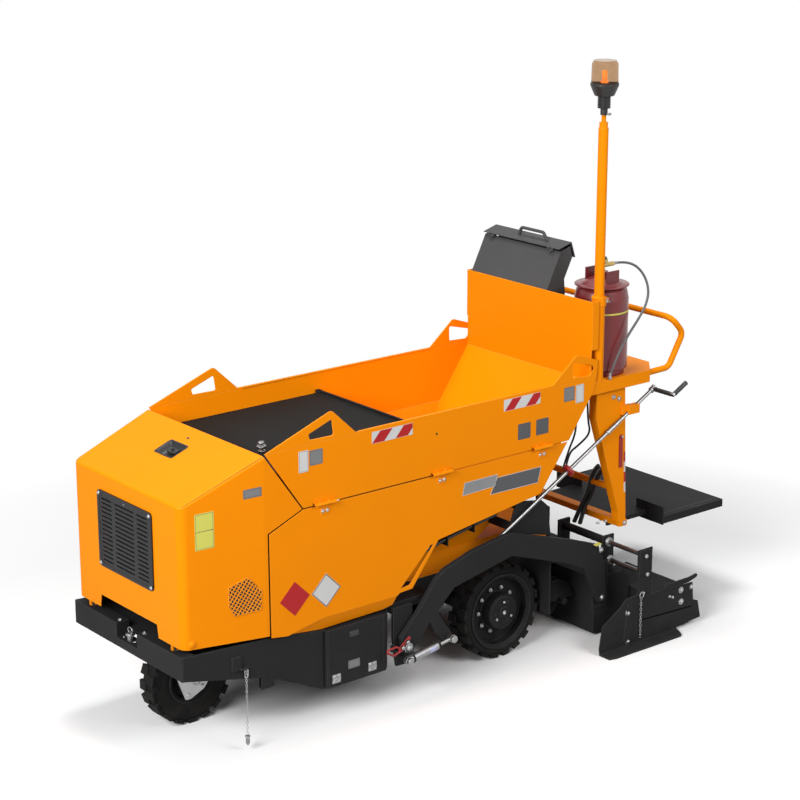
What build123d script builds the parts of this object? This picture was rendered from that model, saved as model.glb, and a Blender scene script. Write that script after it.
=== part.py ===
from build123d import *
import math
import os

os.makedirs("parts", exist_ok=True)

# Compact three-wheel asphalt paver. Millimetres. +X is forward (engine end), +Y is the
# machine's left, +Z is up and z = 0 is the ground. Outlines on Plane.XZ run along X and up
# and extrude towards -Y, so a sketch at Plane.XZ.offset(-y) starts at that y.

# ---- driving dimensions ----
half_width = 450.0          # outer face of the hopper's sides
side_t = 6.0                # hopper side plate
sheet = 4.0                 # hood and panel sheet
front_x = 1665.0            # front of the bumper
rear_x = -1667.0            # rear edge of the platform
fold_z = 516.0              # fold line near the foot of the lower side panel
seam_z = 1043.0             # seam between the hopper's side and the lower side panel
rim_z = 1329.0              # hopper rim
run_gap = 0.05              # radial clearance of a shaft or rod in its bore
pass_gap = 6.0              # least gap between pieces that pass each other
rear_axle_x = -187.0
rear_tyre_r = 232.0
rear_tyre_in = 240.0        # inner face of the rear tyre, from the centre line
rear_tyre_out = 356.0       # outer face of the rear tyre
front_axle_x = 1368.0
front_tyre_r = 210.0
front_tyre_half = 50.0
rear_stub_r = 20.0
front_pin_r = 12.0
king_pin_r = 22.0
tray_z = 455.0              # underside of the engine tray
tray_t = 15.0
plate_out = half_width - 18  # outer face of the chassis side plates
plate_t = 12.0
wall_x = -650.0             # front face of the hopper's rear wall
wall_t = 6.0
wall_top_z = 1688.0
deck_z = 1293.0             # top of the rear deck
deck_depth = 60.0
tunnel_half = 205.0         # half width inside the conveyor tunnel
slope_foot_z = 560.0        # lower edge of the hopper's slopes
crease_z = 1046.0           # upper edge of the hopper's side slopes
front_wall_x = 281.0        # rear face of the hopper's front wall
arm_t = 24.0
arm_in = half_width + pass_gap  # inner face of the screed arms
tow_x = 482.0               # tow pin of the screed arms
tow_z = 262.0
tow_pin_r = 14.0
lift_y = arm_in + arm_t + 25  # centre plane of the lift cylinders
lift_front = (506.0, 216.0)
lift_rear = (249.0, 258.0)
lift_pin_r = 8.0
lift_rod_r = 9.0
eye_gap = 0.12              # radial clearance of the rod's eye, where the linkage is open
mast_x = -718.0
mast_y = half_width - 32
mast_r = 23.5
post_r = 29.0
bottle_x = -850.0
bottle_y = 300.0
bottle_r = 130.0
cover_z = 1225.0            # top of the black engine cover
cover_half = half_width - side_t - pass_gap
cover_hinge = (297.0, 1232.0)
cover_pin_r = 6.0
hood_hinge = (1630.0, 520.0)
hood_pin_r = 6.0
panel_hinge_y = half_width + 9
panel_pin_r = 4.0
leg_in = half_width - 80    # inner face of the rear legs
leg_t = 50.0
step_hinge = (-968.0, 502.0)
step_pin_r = 7.0
step_half = 390.0           # half width of the platform
step_z = 487.0              # top of the platform
auger_x = -580.0
auger_z = 190.0
auger_r = 95.0
auger_shaft_r = 15.0
screed_half = 450.0
box_front = -705.0          # front face of the screed's main box
box_rear = -945.0
guide_rods = ((-845.0, 445.0), (-855.0, 350.0))
guide_r = 11.0
end_plate_y = 645.0         # inner face of the end plates
lid_hinge = (-730.0, 1866.0)
lid_pin_r = 4.0
console_lo = -422.0         # right end of the console
console_hi = 125.0          # left end of the console

spindle_top = (-1088.4, 1195.1)  # axis of the levelling spindles, at the crank end
spindle_low = (-98.5, 650.0)
spindle_r = 9.0
hood_front_half = half_width - 27.5  # half width of the hood at its front
rear_rim_r = 184.0          # flange of the rear rim
front_rim_r = 118.0

sides = (("left", 1), ("right", -1))
wheel_dir = (0, 1, 0)


# Profile planes: local x runs along Y, local y runs up, at the centre of a wheel.
def wheel_plane(x, z):
    return Plane(origin=(x, 0, z), x_dir=(0, 1, 0), z_dir=(1, 0, 0))


# ---- chassis: rails with their cross members, tray, side plates, tow plates and bumper ----
bumper_x = 1600.0           # rear edge of the bumper channel
bumper_low = 402.0
bumper_top = 510.0
bumper_t = 8.0
rail_out = 220.0            # outer face of the rails
rail_t = 12.0
rail_low = 330.0
tow_bore_r = 15.0
tow_bore_x = front_x - 33
notch_half = 83.0           # half width of the tow notch
notch_floor = 441.0
bearing_r = 48.0            # king-pin bearing
bearing_low = 445.0
axle_bracket = [(-257, 340), (-117, 340), (-142, 180), (-232, 180)]
with BuildPart() as main_frame:
    for name, s in sides:
        with Locations((240, s * (rail_out - rail_t / 2), (rail_low + tray_z) / 2)):
            Box(1760, rail_t, tray_z - rail_low)
        with BuildSketch(Plane.XZ.offset(-s * (rail_out - rail_t / 2))):
            with BuildLine():
                Polyline(axle_bracket, close=True)
            make_face()
        extrude(amount=rail_t / 2, both=True)
        # mudguard plate behind the rear wheel
        with Locations((-450, s * (rail_out + 92), 300)):
            Box(6, 196, 280)
    for x in (1114, 300, -634):
        with Locations((x, 0, 400)):
            Box(12, 2 * rail_out - rail_t, 110)
    # hanger and bearing of the auger
    with Locations((auger_x - 10, 0, 400)):
        Box(108, 90, 110)
    with Locations((auger_x, 0, 250)):
        Box(60, 60, 200)
    with Locations((auger_x, 0, auger_z)):
        Cylinder(auger_shaft_r + run_gap, 100, rotation=(90, 0, 0), mode=Mode.SUBTRACT)
    with Locations((rear_axle_x, 0, rear_tyre_r)):
        Cylinder(40, 460, rotation=(90, 0, 0), mode=Mode.SUBTRACT)
main_frame.part.label = "main_frame"

with BuildPart() as engine_tray:
    with Locations(((bumper_x + 300) / 2, 0, tray_z + tray_t / 2)):
        Box(bumper_x - 300, 2 * (plate_out - plate_t), tray_t)
    with Locations((front_axle_x, 0, tray_z)):
        Cylinder(bearing_r, tray_z - bearing_low, align=(Align.CENTER, Align.CENTER, Align.MAX))
    with Locations((front_axle_x, 0, tray_z)):
        Cylinder(king_pin_r, 80, mode=Mode.SUBTRACT)
engine_tray.part.label = "engine_tray"

# side plates, each with a towing stub; the left one carries the pointer's bracket
side_plate = [(front_x - bumper_t, bumper_low), (front_x - bumper_t, bumper_top), (1213, 486),
              (927, 448), (927, 166), (1154, 275), (1259, 313)]
with BuildPart() as side_plates:
    with BuildSketch(Plane.XZ.offset(-plate_out)):
        with BuildLine():
            Polyline(side_plate, close=True)
        make_face()
    extrude(amount=plate_t)
    with BuildSketch(Plane.YZ.offset(1192)):
        with Locations((plate_out - 12, 283)):
            Rectangle(24, 50)
            Rectangle(14, 40, mode=Mode.SUBTRACT)
    extrude(amount=68)
    mirror(about=Plane.XZ)
    with Locations((1393, plate_out + 4, 414)):
        Box(46, 8, 62)
    with Locations((1355, plate_out + 8, 386)):
        Box(40, 16, 8)
side_plates.part.label = "side_plates"

# tow plates, with the pins of the screed arms' bores and of the lift cylinders
tow_plate = [(539, tray_z), (539, 300), (520, 170), (450, 170), (430, 225), (430, tray_z)]
with BuildPart() as tow_plates:
    for name, s in sides:
        with BuildSketch(Plane.XZ.offset(-s * (plate_out + 1))):
            with BuildLine():
                Polyline(tow_plate, close=True)
            make_face()
        extrude(amount=8, both=True)
        with Locations((483.5, s * (plate_out - 25), tray_z - 7.5)):
            Box(107, 38, 15)
        with Locations((lift_front[0], s * (plate_out + 52), lift_front[1])):
            Cylinder(lift_pin_r, 90, rotation=(90, 0, 0))
    with Locations((tow_x, 0, tow_z)):
        Cylinder(tow_pin_r, 1000 + 2 * plate_out, rotation=(90, 0, 0), mode=Mode.SUBTRACT)
tow_plates.part.label = "tow_plates"

with BuildPart() as bumper:
    # channel, open to the rear
    with Locations(((bumper_x + front_x) / 2, 0, (bumper_low + bumper_top) / 2)):
        Box(front_x - bumper_x, 2 * (plate_out - plate_t), bumper_top - bumper_low)
        with Locations((-bumper_t, 0, 0)):
            Box(front_x - bumper_x, 2 * plate_out, bumper_top - bumper_low - 2 * bumper_t,
                mode=Mode.SUBTRACT)
    with Locations((front_x - bumper_t / 2, 0, (bumper_low + bumper_top) / 2)):
        Box(bumper_t, 2 * plate_out, bumper_top - bumper_low)
    # tow notch in the middle, with its floor and cheeks
    with Locations((front_x - 33, 0, notch_floor + 35)):
        Box(66, 2 * notch_half, 71, mode=Mode.SUBTRACT)
    with Locations((front_x - 32.5, 0, notch_floor - bumper_t / 2)):
        Box(65, 2 * notch_half + 16, bumper_t)
    for name, s in sides:
        with Locations((front_x - 32.5, s * (notch_half + 4), notch_floor + 32)):
            Box(65, 8, 66)
    with Locations((tow_bore_x, 0, notch_floor)):
        Cylinder(tow_bore_r, 20, mode=Mode.SUBTRACT)
    with Locations((tow_bore_x, 0, bumper_low)):
        Cylinder(tow_bore_r + 7, 40, mode=Mode.SUBTRACT)
    # hinge lugs of the hood, and the slots in which its own lugs swing
    for name, s in sides:
        with Locations((hood_hinge[0], s * 316, 519), (hood_hinge[0], s * 344, 519)):
            Box(20, 12, 22)
        with Locations((1637, s * 330, bumper_top)):
            Box(46, 16, 20, mode=Mode.SUBTRACT)
    with Locations((hood_hinge[0], 0, hood_hinge[1])):
        Cylinder(hood_pin_r, 700, rotation=(90, 0, 0), mode=Mode.SUBTRACT)
bumper.part.label = "bumper"

with BuildPart() as engine_block:
    with Locations((930, 0, (tray_z + tray_t + 930) / 2)):
        Box(500, 520, 930 - tray_z - tray_t)
engine_block.part.label = "engine_block"

# ---- side boxes between the chassis plates and the rear wheels, each with its door ----
box_front_x = 920.0
box_rear_x = 590.0
box_low = 173.0
box_top = 445.0
door_gap = 3.0
post_x = 546.0              # rounded rear corner post
rack_pitch = 12.0
rack_teeth = 16
box_plan = [(box_front_x, rail_out), (box_front_x, half_width), (box_rear_x, half_width),
            (post_x, half_width - 45), (post_x, rail_out)]
with BuildPart() as side_boxes:
    with BuildSketch(Plane.XY.offset(box_low)):
        with BuildLine():
            Polyline(box_plan, close=True)
        make_face()
        corner = vertices().filter_by_position(Axis.X, post_x - 1, box_rear_x + 1)
        fillet(corner.sort_by(Axis.Y)[-2:], radius=16)
    extrude(amount=box_top - box_low)
    # shadow gap round the door in the outer face
    with Locations((box_front_x - 8, half_width, (box_low + box_top) / 2),
                   (box_rear_x + 14, half_width, (box_low + box_top) / 2)):
        Box(door_gap, 4, box_top - box_low, mode=Mode.SUBTRACT)
    # toothed rack on the corner post
    rack_mid = box_top - rack_pitch * rack_teeth / 2 - 4
    with Locations((post_x - 3.5, half_width - 62, rack_mid)):
        Box(9, 16, rack_pitch * rack_teeth)
    for k in range(rack_teeth):
        z = rack_mid + rack_pitch * (k + 0.5 - rack_teeth / 2)
        with Locations((post_x - 8, half_width - 62, z)):
            Box(6, 20, rack_pitch / 2, mode=Mode.SUBTRACT)
    mirror(about=Plane.XZ)
side_boxes.part.label = "side_boxes"

# ---- hopper sides, each with three hinge lug pairs ----
eye_round = 24.0            # corner radius of the lifting eyes
eye_base_z = 1322.0         # where the eye plates are welded to the wall
side_outline = [(1235, eye_base_z), (753, eye_base_z), (753, rim_z), (-406, rim_z),
                (-406, eye_base_z), (-685, eye_base_z), (-666, 1254), (-514, seam_z), (1039, seam_z)]
eye_plate_front = [(1235, eye_base_z), (883, 1450), (753, rim_z), (753, eye_base_z)]
eye_plate_rear = [(-406, eye_base_z), (-406, rim_z), (-554, 1451), (-692, 1404), (-685, eye_base_z)]
eye_front = [(883, 1412), (872, 1338), (1000, 1340), (1009, 1367)]
eye_rear = [(-528, 1418), (-530, 1343), (-639, 1337), (-670, 1366), (-656, 1386)]
hinge_stations = (930, 272, -338)
lug_gap = 24.0              # from the middle of a hinge to its lugs
panel_knuckle_r = 8.0


def hopper_side(name, s):
    with BuildPart() as side:
        with BuildSketch(Plane.XZ.offset(-s * (half_width - side_t / 2))):
            with BuildLine():
                Polyline(side_outline, close=True)
            make_face()
        extrude(amount=side_t / 2, both=True)
        # folded lip along the rim, between the eyes
        with Locations(((753 - 406) / 2, s * (half_width - side_t - 2), rim_z - 3)):
            Box(753 + 406 - 40, 6, 6)
        for x in hinge_stations:
            for dx in (-lug_gap, lug_gap):
                with Locations((x + dx, s * (half_width + 7.5), seam_z + 4.5)):
                    Box(8, 15, 19)
                with Locations((x + dx, s * (half_width - 10), seam_z - 5)):
                    Box(8, 20.4, 10, mode=Mode.SUBTRACT)
            with Locations((x, s * panel_hinge_y, seam_z)):
                Cylinder(panel_pin_r, 2 * lug_gap, rotation=(0, 90, 0))
        with Locations((cover_hinge[0], s * half_width, cover_hinge[1])):
            Cylinder(cover_pin_r, 40, rotation=(90, 0, 0), mode=Mode.SUBTRACT)
    side.part.label = name
    return side.part


hopper_side_parts = [hopper_side("hopper_side_" + name, s) for name, s in sides]

# ---- four lifting eyes, plates in line with the hopper sides ----
with BuildPart() as lifting_eyes:
    for name, s in sides:
        for outline, eye in ((eye_plate_front, eye_front), (eye_plate_rear, eye_rear)):
            with BuildSketch(Plane.XZ.offset(-s * (half_width - side_t / 2))):
                with BuildLine():
                    Polyline(outline, close=True)
                make_face()
                fillet(vertices().sort_by(Axis.Y)[-1:], radius=eye_round)
                with BuildLine():
                    FilletPolyline(*eye, radius=9, close=True)
                make_face(mode=Mode.SUBTRACT)
            extrude(amount=side_t / 2, both=True)
lifting_eyes.part.label = "lifting_eyes"

# ---- rear wall of the hopper ----
with BuildPart() as hopper_rear_wall:
    with Locations((wall_x - wall_t / 2, 0, (1233 + 1456) / 2)):
        Box(wall_t, 2 * (half_width - side_t), 1456 - 1233)
    with Locations((wall_x - wall_t / 2, 0, (1456 + wall_top_z) / 2)):
        Box(wall_t, 2 * half_width, wall_top_z - 1456)
    for name, s in sides:
        with Locations((wall_x - wall_t - 17, s * (half_width - 3), (1456 + wall_top_z) / 2)):
            Box(34, 6, wall_top_z - 1456)
hopper_rear_wall.part.label = "hopper_rear_wall"

# ---- hopper floor: rear chute, two side slopes and the front wall ----
chute_in = [(wall_x, 1308), (-131, slope_foot_z), (-131, 500), (front_wall_x, 500),
            (front_wall_x, 1400), (wall_x, 1400)]
chute_out = [(wall_x, 1296.4), (wall_x, 1400), (front_wall_x + sheet, 1400),
             (front_wall_x + sheet, 500), (-139, 500), (-139, slope_foot_z)]
slope_in = [(444, 1500), (444, crease_z), (tunnel_half, slope_foot_z), (tunnel_half, 400)]
slope_out = [(444, 1500), (444, crease_z - 11.3), (tunnel_half + 5.6, slope_foot_z),
             (tunnel_half + 5.6, 400)]


def hopper_prism(long_outline, cross_half):
    cross = cross_half + [(-y, z) for y, z in reversed(cross_half)]
    with BuildPart() as prism:
        with BuildSketch(Plane.XZ):
            with BuildLine():
                Polyline(long_outline, close=True)
            make_face()
        extrude(amount=500, both=True)
        with BuildSketch(Plane.YZ):
            with BuildLine():
                Polyline(cross, close=True)
            make_face()
        extrude(amount=900, both=True, mode=Mode.INTERSECT)
    return prism.part


with BuildPart() as hopper_floor:
    add(hopper_prism(chute_out, slope_out))
    add(hopper_prism(chute_in, slope_in), mode=Mode.SUBTRACT)
    with Locations((-200, 0, slope_foot_z - 100)):
        Box(1200, 1000, 200, mode=Mode.SUBTRACT)
    with Locations((-200, 0, 1308 + 100)):
        Box(1200, 1000, 200, mode=Mode.SUBTRACT)
    with Locations((front_wall_x, 0, 1200 + 100)):
        Box(60, 1000, 200, mode=Mode.SUBTRACT)
hopper_floor.part.label = "hopper_floor"

# ---- hoses held along the lower edge of the left panel, from the engine back to the screed ----
# Radii of a hose's bends: 0.45 of the shorter run beside each corner, over tan(half the turn).
def bend_radii(route):
    radii = []
    for k in range(1, len(route) - 1):
        back = Vector(*route[k]) - Vector(*route[k - 1])
        ahead = Vector(*route[k + 1]) - Vector(*route[k])
        turn = math.radians(back.get_angle(ahead))
        radii.append(0.45 * min(back.length, ahead.length) / math.tan(turn / 2))
    return radii


def hose(route, radius):
    with BuildPart() as tube:
        with BuildLine():
            FilletPolyline(*route, radius=bend_radii(route))
        with BuildSketch(Plane(origin=route[0], z_dir=Vector(*route[1]) - Vector(*route[0]))):
            Circle(radius)
        sweep()
    return tube.part


bundle_r = 8.0
bundle_pitch = 20.0         # between the middles of neighbouring hoses
bundle_drop = 6.0
bundle_line = [(560, 600), (430, 622), (300, 668), (150, 700), (0, 726), (-110, 744)]
bundle_routes = [[(x, half_width - 62 - bundle_pitch * k, z - bundle_drop * k)
                  for x, z in bundle_line] for k in range(3)]
hose_clamps = ((190, 685), (30, 715))       # x and z of the plates that carry the hoses
with BuildPart() as hose_bundle:
    for route in bundle_routes:
        add(hose(route, bundle_r))
hose_bundle.part.label = "hose_bundle"
print("bundle bends", [round(r) for r in bend_radii(bundle_routes[0])])

# ---- brackets on the hopper: ledges under the engine cover, black housings over the arms ----
slope_run = (444 - tunnel_half - 5.6) / (crease_z - 11.3 - slope_foot_z)


def slope_y(z):
    return tunnel_half + 5.6 + slope_run * (z - slope_foot_z)


housing = [(-163, 649), (-216, 796), (-375, 766), (-410, 736), (-437, 578)]
housing_out = half_width - 28   # outer face of the housing's plate
housing_t = 8.0
with BuildPart() as hopper_brackets:
    for name, s in sides:
        with Locations((720, s * (half_width - side_t - 10), cover_z - 18)):
            Box(840, 20, 4)
        with BuildSketch(Plane.XZ.offset(-s * (housing_out - housing_t / 2))):
            with BuildLine():
                Polyline(housing, close=True)
            make_face()
        extrude(amount=housing_t / 2, both=True)
        for x, low, high in ((-187, 655, 700), (-260, 735, 780)):
            with BuildSketch(Plane.YZ.offset(x)):
                with BuildLine():
                    Polyline([(s * (housing_out - 2), low), (s * (housing_out - 2), high),
                              (s * slope_y(high), high), (s * slope_y(low), low)], close=True)
                make_face()
            extrude(amount=6)
        # flange along the lower rear edge
        with Locations((-424, s * (housing_out - 17), 655)):
            Box(6, 34, 140)
    # plates that carry the hoses
    for x, z in hose_clamps:
        with BuildSketch(Plane.YZ.offset(x - 3)):
            with BuildLine():
                Polyline([(slope_y(z - 22), z - 22), (slope_y(z + 22), z + 22),
                          (half_width - 46, z + 22), (half_width - 46, z - 22)], close=True)
            make_face()
        extrude(amount=6)
    for route in bundle_routes:
        add(hose(route, bundle_r + run_gap), mode=Mode.SUBTRACT)
hopper_brackets.part.label = "hopper_brackets"

# ---- conveyor tunnel with its slats ----
with BuildPart() as conveyor:
    with Locations((-157.5, 0, tray_z + 4)):
        Box(885, 440, 8)
    for s in (1, -1):
        with Locations((-157.5, s * (tunnel_half + 4), (tray_z + slope_foot_z) / 2)):
            Box(885, 8, slope_foot_z - tray_z)
    with Locations(((-600 - 139) / 2, 0, slope_foot_z - 2)):
        Box(461, 2 * tunnel_half, 4)
    for k in range(15):
        with Locations((-570 + 58 * k, 0, tray_z + 12)):
            Box(10, 2 * tunnel_half, 8)
conveyor.part.label = "conveyor"

# ---- rear axle ----
with BuildPart() as rear_axle:
    with Locations((rear_axle_x, 0, rear_tyre_r)):
        Cylinder(40, 2 * 232, rotation=(90, 0, 0))
        Cylinder(rear_stub_r, 2 * 310, rotation=(90, 0, 0))
        Cylinder(75, 120, rotation=(90, 0, 0))
rear_axle.part.label = "rear_axle"

# ---- line of the levelling spindles ----
spindle_len = math.dist(spindle_top, spindle_low)
spindle_dir = ((spindle_low[0] - spindle_top[0]) / spindle_len,
               (spindle_low[1] - spindle_top[1]) / spindle_len)
spindle_turn = math.degrees(math.atan2(spindle_dir[0], spindle_dir[1]))


eye_along = 165.0           # from the spindle's upper end to the eye that guides it
eye_x = spindle_top[0] + spindle_dir[0] * eye_along
eye_z = spindle_top[1] + spindle_dir[1] * eye_along


# A place on the spindle, that far below its upper end, with Z along the spindle.
def spindle_spot(along, s):
    return Location((spindle_top[0] + spindle_dir[0] * along, s * 436,
                     spindle_top[1] + spindle_dir[1] * along), (0, spindle_turn, 0))


# ---- rear legs, with the cross tube and the bar that carries the platform ----
leg_outline = [(-719, deck_z - deck_depth), (-719, 1099), (-887, 593), (-890, 546),
               (-937, 546), (-908, deck_z - deck_depth)]
leg_pocket = [(-727, deck_z - deck_depth - 8), (-727, 1100), (-893, 600), (-930, 600),
              (-916, deck_z - deck_depth - 8)]
with BuildPart() as rear_legs:
    for name, s in sides:
        with BuildSketch(Plane.XZ.offset(-s * (leg_in + leg_t / 2))):
            with BuildLine():
                Polyline(leg_outline, close=True)
            make_face()
        extrude(amount=leg_t / 2, both=True)
        with BuildSketch(Plane.XZ.offset(-s * (leg_in + leg_t / 2 - 6))):
            with BuildLine():
                Polyline(leg_pocket, close=True)
            make_face()
        extrude(amount=leg_t / 2, both=True, mode=Mode.SUBTRACT)
        # eye that guides the levelling spindle
        with Locations((eye_x, s * 436, eye_z)):
            Box(70, 32, 44)
        with Locations((eye_x + 32, s * 424, eye_z)):
            Box(60, 20, 44)
    with Locations((-875, 0, 715)):
        Cylinder(17, 2 * (leg_in + leg_t - 4), rotation=(90, 0, 0))
    with Locations((-922, 0, 531)):
        Box(50, 2 * (leg_in + leg_t), 30)
    for y in (-272, -244, 244, 272):
        with Locations((step_hinge[0] + 10, y, 508)):
            Box(42, 12, 32)
    with Locations((step_hinge[0], 0, step_hinge[1])):
        Cylinder(step_pin_r, 700, rotation=(90, 0, 0), mode=Mode.SUBTRACT)
    for name, s in sides:
        with Locations(spindle_spot(eye_along - 20, s)):
            Cylinder(spindle_r + run_gap, 200, mode=Mode.SUBTRACT)
rear_legs.part.label = "rear_legs"

# ---- rear deck: folded sheet, open below ----
deck_half = half_width - side_t
deck_plan = [(wall_x - wall_t, deck_half), (-1050, deck_half), (-1153, 334),
             (-1153, -334), (-1050, -deck_half), (wall_x - wall_t, -deck_half)]
with BuildPart() as rear_deck:
    with BuildSketch(Plane.XY.offset(deck_z - deck_depth)):
        with BuildLine():
            Polyline(deck_plan, close=True)
        make_face()
    extrude(amount=deck_depth)
    with BuildSketch(Plane.XY.offset(deck_z - deck_depth)):
        with BuildLine():
            Polyline(deck_plan, close=True)
        make_face()
        offset(amount=-5, kind=Kind.INTERSECTION, mode=Mode.REPLACE)
    extrude(amount=deck_depth - 5, mode=Mode.SUBTRACT)
    # cleats on which the legs are welded
    for name, s in sides:
        with Locations((-813.5, s * (leg_in + leg_t / 2), deck_z - deck_depth / 2)):
            Box(189, leg_t, deck_depth)
rear_deck.part.label = "rear_deck"

# ---- handrail ----
rail_half = [(-1040, 400, 1263), (-1215, 405, 1270), (-1293, 420, 1435), (-1212, 420, 1522)]
rail_route = rail_half + [(x, -y, z) for x, y, z in reversed(rail_half)]
rail_r = 15.0
with BuildPart() as handrail:
    with BuildLine():
        FilletPolyline(*rail_route, radius=45)
    with BuildSketch(Plane(origin=rail_route[0], z_dir=(-175, 5, 7))):
        Circle(rail_r)
    sweep()
    with BuildSketch(Plane.XY.offset(deck_z - deck_depth)):
        with BuildLine():
            Polyline(deck_plan, close=True)
        make_face()
    extrude(amount=deck_depth, mode=Mode.SUBTRACT)
handrail.part.label = "handrail"

# ---- console: leaning box with an open top, under a hinged lid ----
console_outline = [(wall_x - wall_t, 1648), (wall_x - wall_t, 1690), (-741, 1862),
                   (-803, 1880), (-819, 1827), (-768, 1726), (-775, 1648)]
console_room = [(-665, 1654), (-665, 1694), (-745, 1864), (-808, 1895), (-816, 1826),
                (-763, 1726), (-770, 1654)]
console_mid = (console_lo + console_hi) / 2
console_len = console_hi - console_lo
with BuildPart() as console_body:
    with BuildSketch(Plane.XZ.offset(-console_mid)):
        with BuildLine():
            Polyline(console_outline, close=True)
        make_face()
    extrude(amount=console_len / 2, both=True)
    with BuildSketch(Plane.XZ.offset(-console_mid)):
        with BuildLine():
            Polyline(console_room, close=True)
        make_face()
    extrude(amount=console_len / 2 - 4, both=True, mode=Mode.SUBTRACT)
    # control panel under the lid
    with Locations(Location((-771, console_mid, 1845), (0, -16.2, 0))):
        Box(56, console_len - 6, 4)
    for y in (console_lo + 60, console_hi - 60):
        with Locations((lid_hinge[0] - 4, y, lid_hinge[1] - 7)):
            Box(16, 10, 18)
        with Locations((lid_hinge[0], y, lid_hinge[1])):
            Cylinder(lid_pin_r, 40, rotation=(90, 0, 0))
console_body.part.label = "console_body"

# lid shell in profile, and the arched handle on it
lid_outline = [(-730, 1877), (-813, 1901), (-839, 1824), (-835, 1823), (-810, 1896.5),
               (-731, 1873.5)]
handle_route = [(-772, -205, 1890), (-768, -185, 1930), (-768, -25, 1930), (-772, -5, 1890)]
with BuildPart() as console_lid:
    with BuildSketch(Plane.XZ.offset(-console_mid)):
        with BuildLine():
            Polyline(lid_outline, close=True)
        make_face()
    extrude(amount=console_len / 2, both=True)
    with BuildLine():
        FilletPolyline(*handle_route, radius=22)
    with BuildSketch(Plane(origin=handle_route[0], z_dir=(4, 20, 40))):
        Circle(8)
    sweep()
    for y in (console_lo + 60, console_hi - 60):
        for dy in (-14, 14):
            with Locations((lid_hinge[0] + 0.5, y + dy, lid_hinge[1] + 2.5)):
                Box(12, 8, 17)
    with Locations((lid_hinge[0], console_mid, lid_hinge[1])):
        Cylinder(lid_pin_r + run_gap, 600, rotation=(90, 0, 0), mode=Mode.SUBTRACT)
console_lid.part.label = "console_lid"

# ---- mast: fixed post, sliding tube and the beacon ----
with BuildPart() as mast_post:
    with Locations((mast_x, mast_y - 4, deck_z)):
        Box(66, 58, 8, align=(Align.CENTER, Align.CENTER, Align.MIN))
    with Locations((mast_x, mast_y, deck_z)):
        Cylinder(post_r, 397, align=(Align.CENTER, Align.CENTER, Align.MIN))
    with Locations((mast_x, mast_y, 1658)):
        Cylinder(34, 42, align=(Align.CENTER, Align.CENTER, Align.MIN))
    with Locations((mast_x - 34, mast_y, 1679)):
        Box(26, 16, 30)
    with Locations((mast_x, mast_y, deck_z)):
        Cylinder(mast_r + run_gap, 420, align=(Align.CENTER, Align.CENTER, Align.MIN),
                 mode=Mode.SUBTRACT)
mast_post.part.label = "mast_post"

with BuildPart() as mast_tube:
    with Locations((mast_x, mast_y, 1600)):
        Cylinder(mast_r, 897, align=(Align.CENTER, Align.CENTER, Align.MIN))
    with Locations((mast_x, mast_y, 2497)):
        Cylinder(20, 26, align=(Align.CENTER, Align.CENTER, Align.MIN))
        Cylinder(11, 60, align=(Align.CENTER, Align.CENTER, Align.MIN))
mast_tube.part.label = "mast_tube"

# beacon silhouettes: radius and height of each step
beacon_bowl = [(0, 2557), (17, 2557), (17, 2584), (28, 2588), (28, 2640), (46, 2646),
               (66, 2692), (66, 2702), (0, 2702)]
beacon_dome = [(0, 2702), (63, 2702), (61, 2790), (52, 2806), (0, 2806)]


def turned_on_mast(name, steps):
    with BuildPart() as turned:
        with BuildSketch(Plane.XZ.offset(-mast_y)):
            with BuildLine():
                Polyline([(mast_x + r, z) for r, z in steps], close=True)
            make_face()
        revolve(axis=Axis((mast_x, mast_y, 0), (0, 0, 1)))
    turned.part.label = name
    return turned.part


beacon_parts = [turned_on_mast("beacon_base", beacon_bowl),
                turned_on_mast("beacon_lens", beacon_dome)]

# ---- gas bottle with its valve guard ears, valve and hose ----
bottle_steps = [(0, deck_z), (118, deck_z), (118, deck_z + 22), (bottle_r, deck_z + 30),
                (bottle_r, 1660), (122, 1700), (98, 1732), (60, 1752), (28, 1760),
                (28, 1786), (0, 1786)]
with BuildPart() as gas_bottle:
    with BuildSketch(Plane.XZ.offset(-bottle_y)):
        with BuildLine():
            Polyline([(bottle_x + r, z) for r, z in bottle_steps], close=True)
        make_face()
    revolve(axis=Axis((bottle_x, bottle_y, 0), (0, 0, 1)))
    for s in (1, -1):
        with Locations((bottle_x, bottle_y + s * 72, 1762)):
            Box(80, 6, 70)
gas_bottle.part.label = "gas_bottle"

with BuildPart() as gas_valve:
    with Locations((bottle_x, bottle_y, 1786)):
        Cylinder(14, 44, align=(Align.CENTER, Align.CENTER, Align.MIN))
    with Locations((bottle_x - 36, bottle_y, 1812)):
        Cylinder(11, 72, rotation=(0, 90, 0))
    with Locations((bottle_x, bottle_y, 1830)):
        Cylinder(26, 14, align=(Align.CENTER, Align.CENTER, Align.MIN))
gas_valve.part.label = "gas_valve"

hose_r = 6.0
hose_route = [(-922, 300, 1812), (-986, 300, 1812), (-1052, 322, 1790), (-1088, 352, 1736),
              (-1078, 392, 1668), (-1024, 424, 1608), (-952, 446, 1556), (-878, 462, 1502),
              (-822, 466, 1438), (-790, 458, 1368), (-778, 440, 1300)]
with BuildPart() as gas_hose:
    add(hose(hose_route, hose_r))
gas_hose.part.label = "gas_hose"
print("gas hose bends", [round(r) for r in bend_radii(hose_route)])

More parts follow.
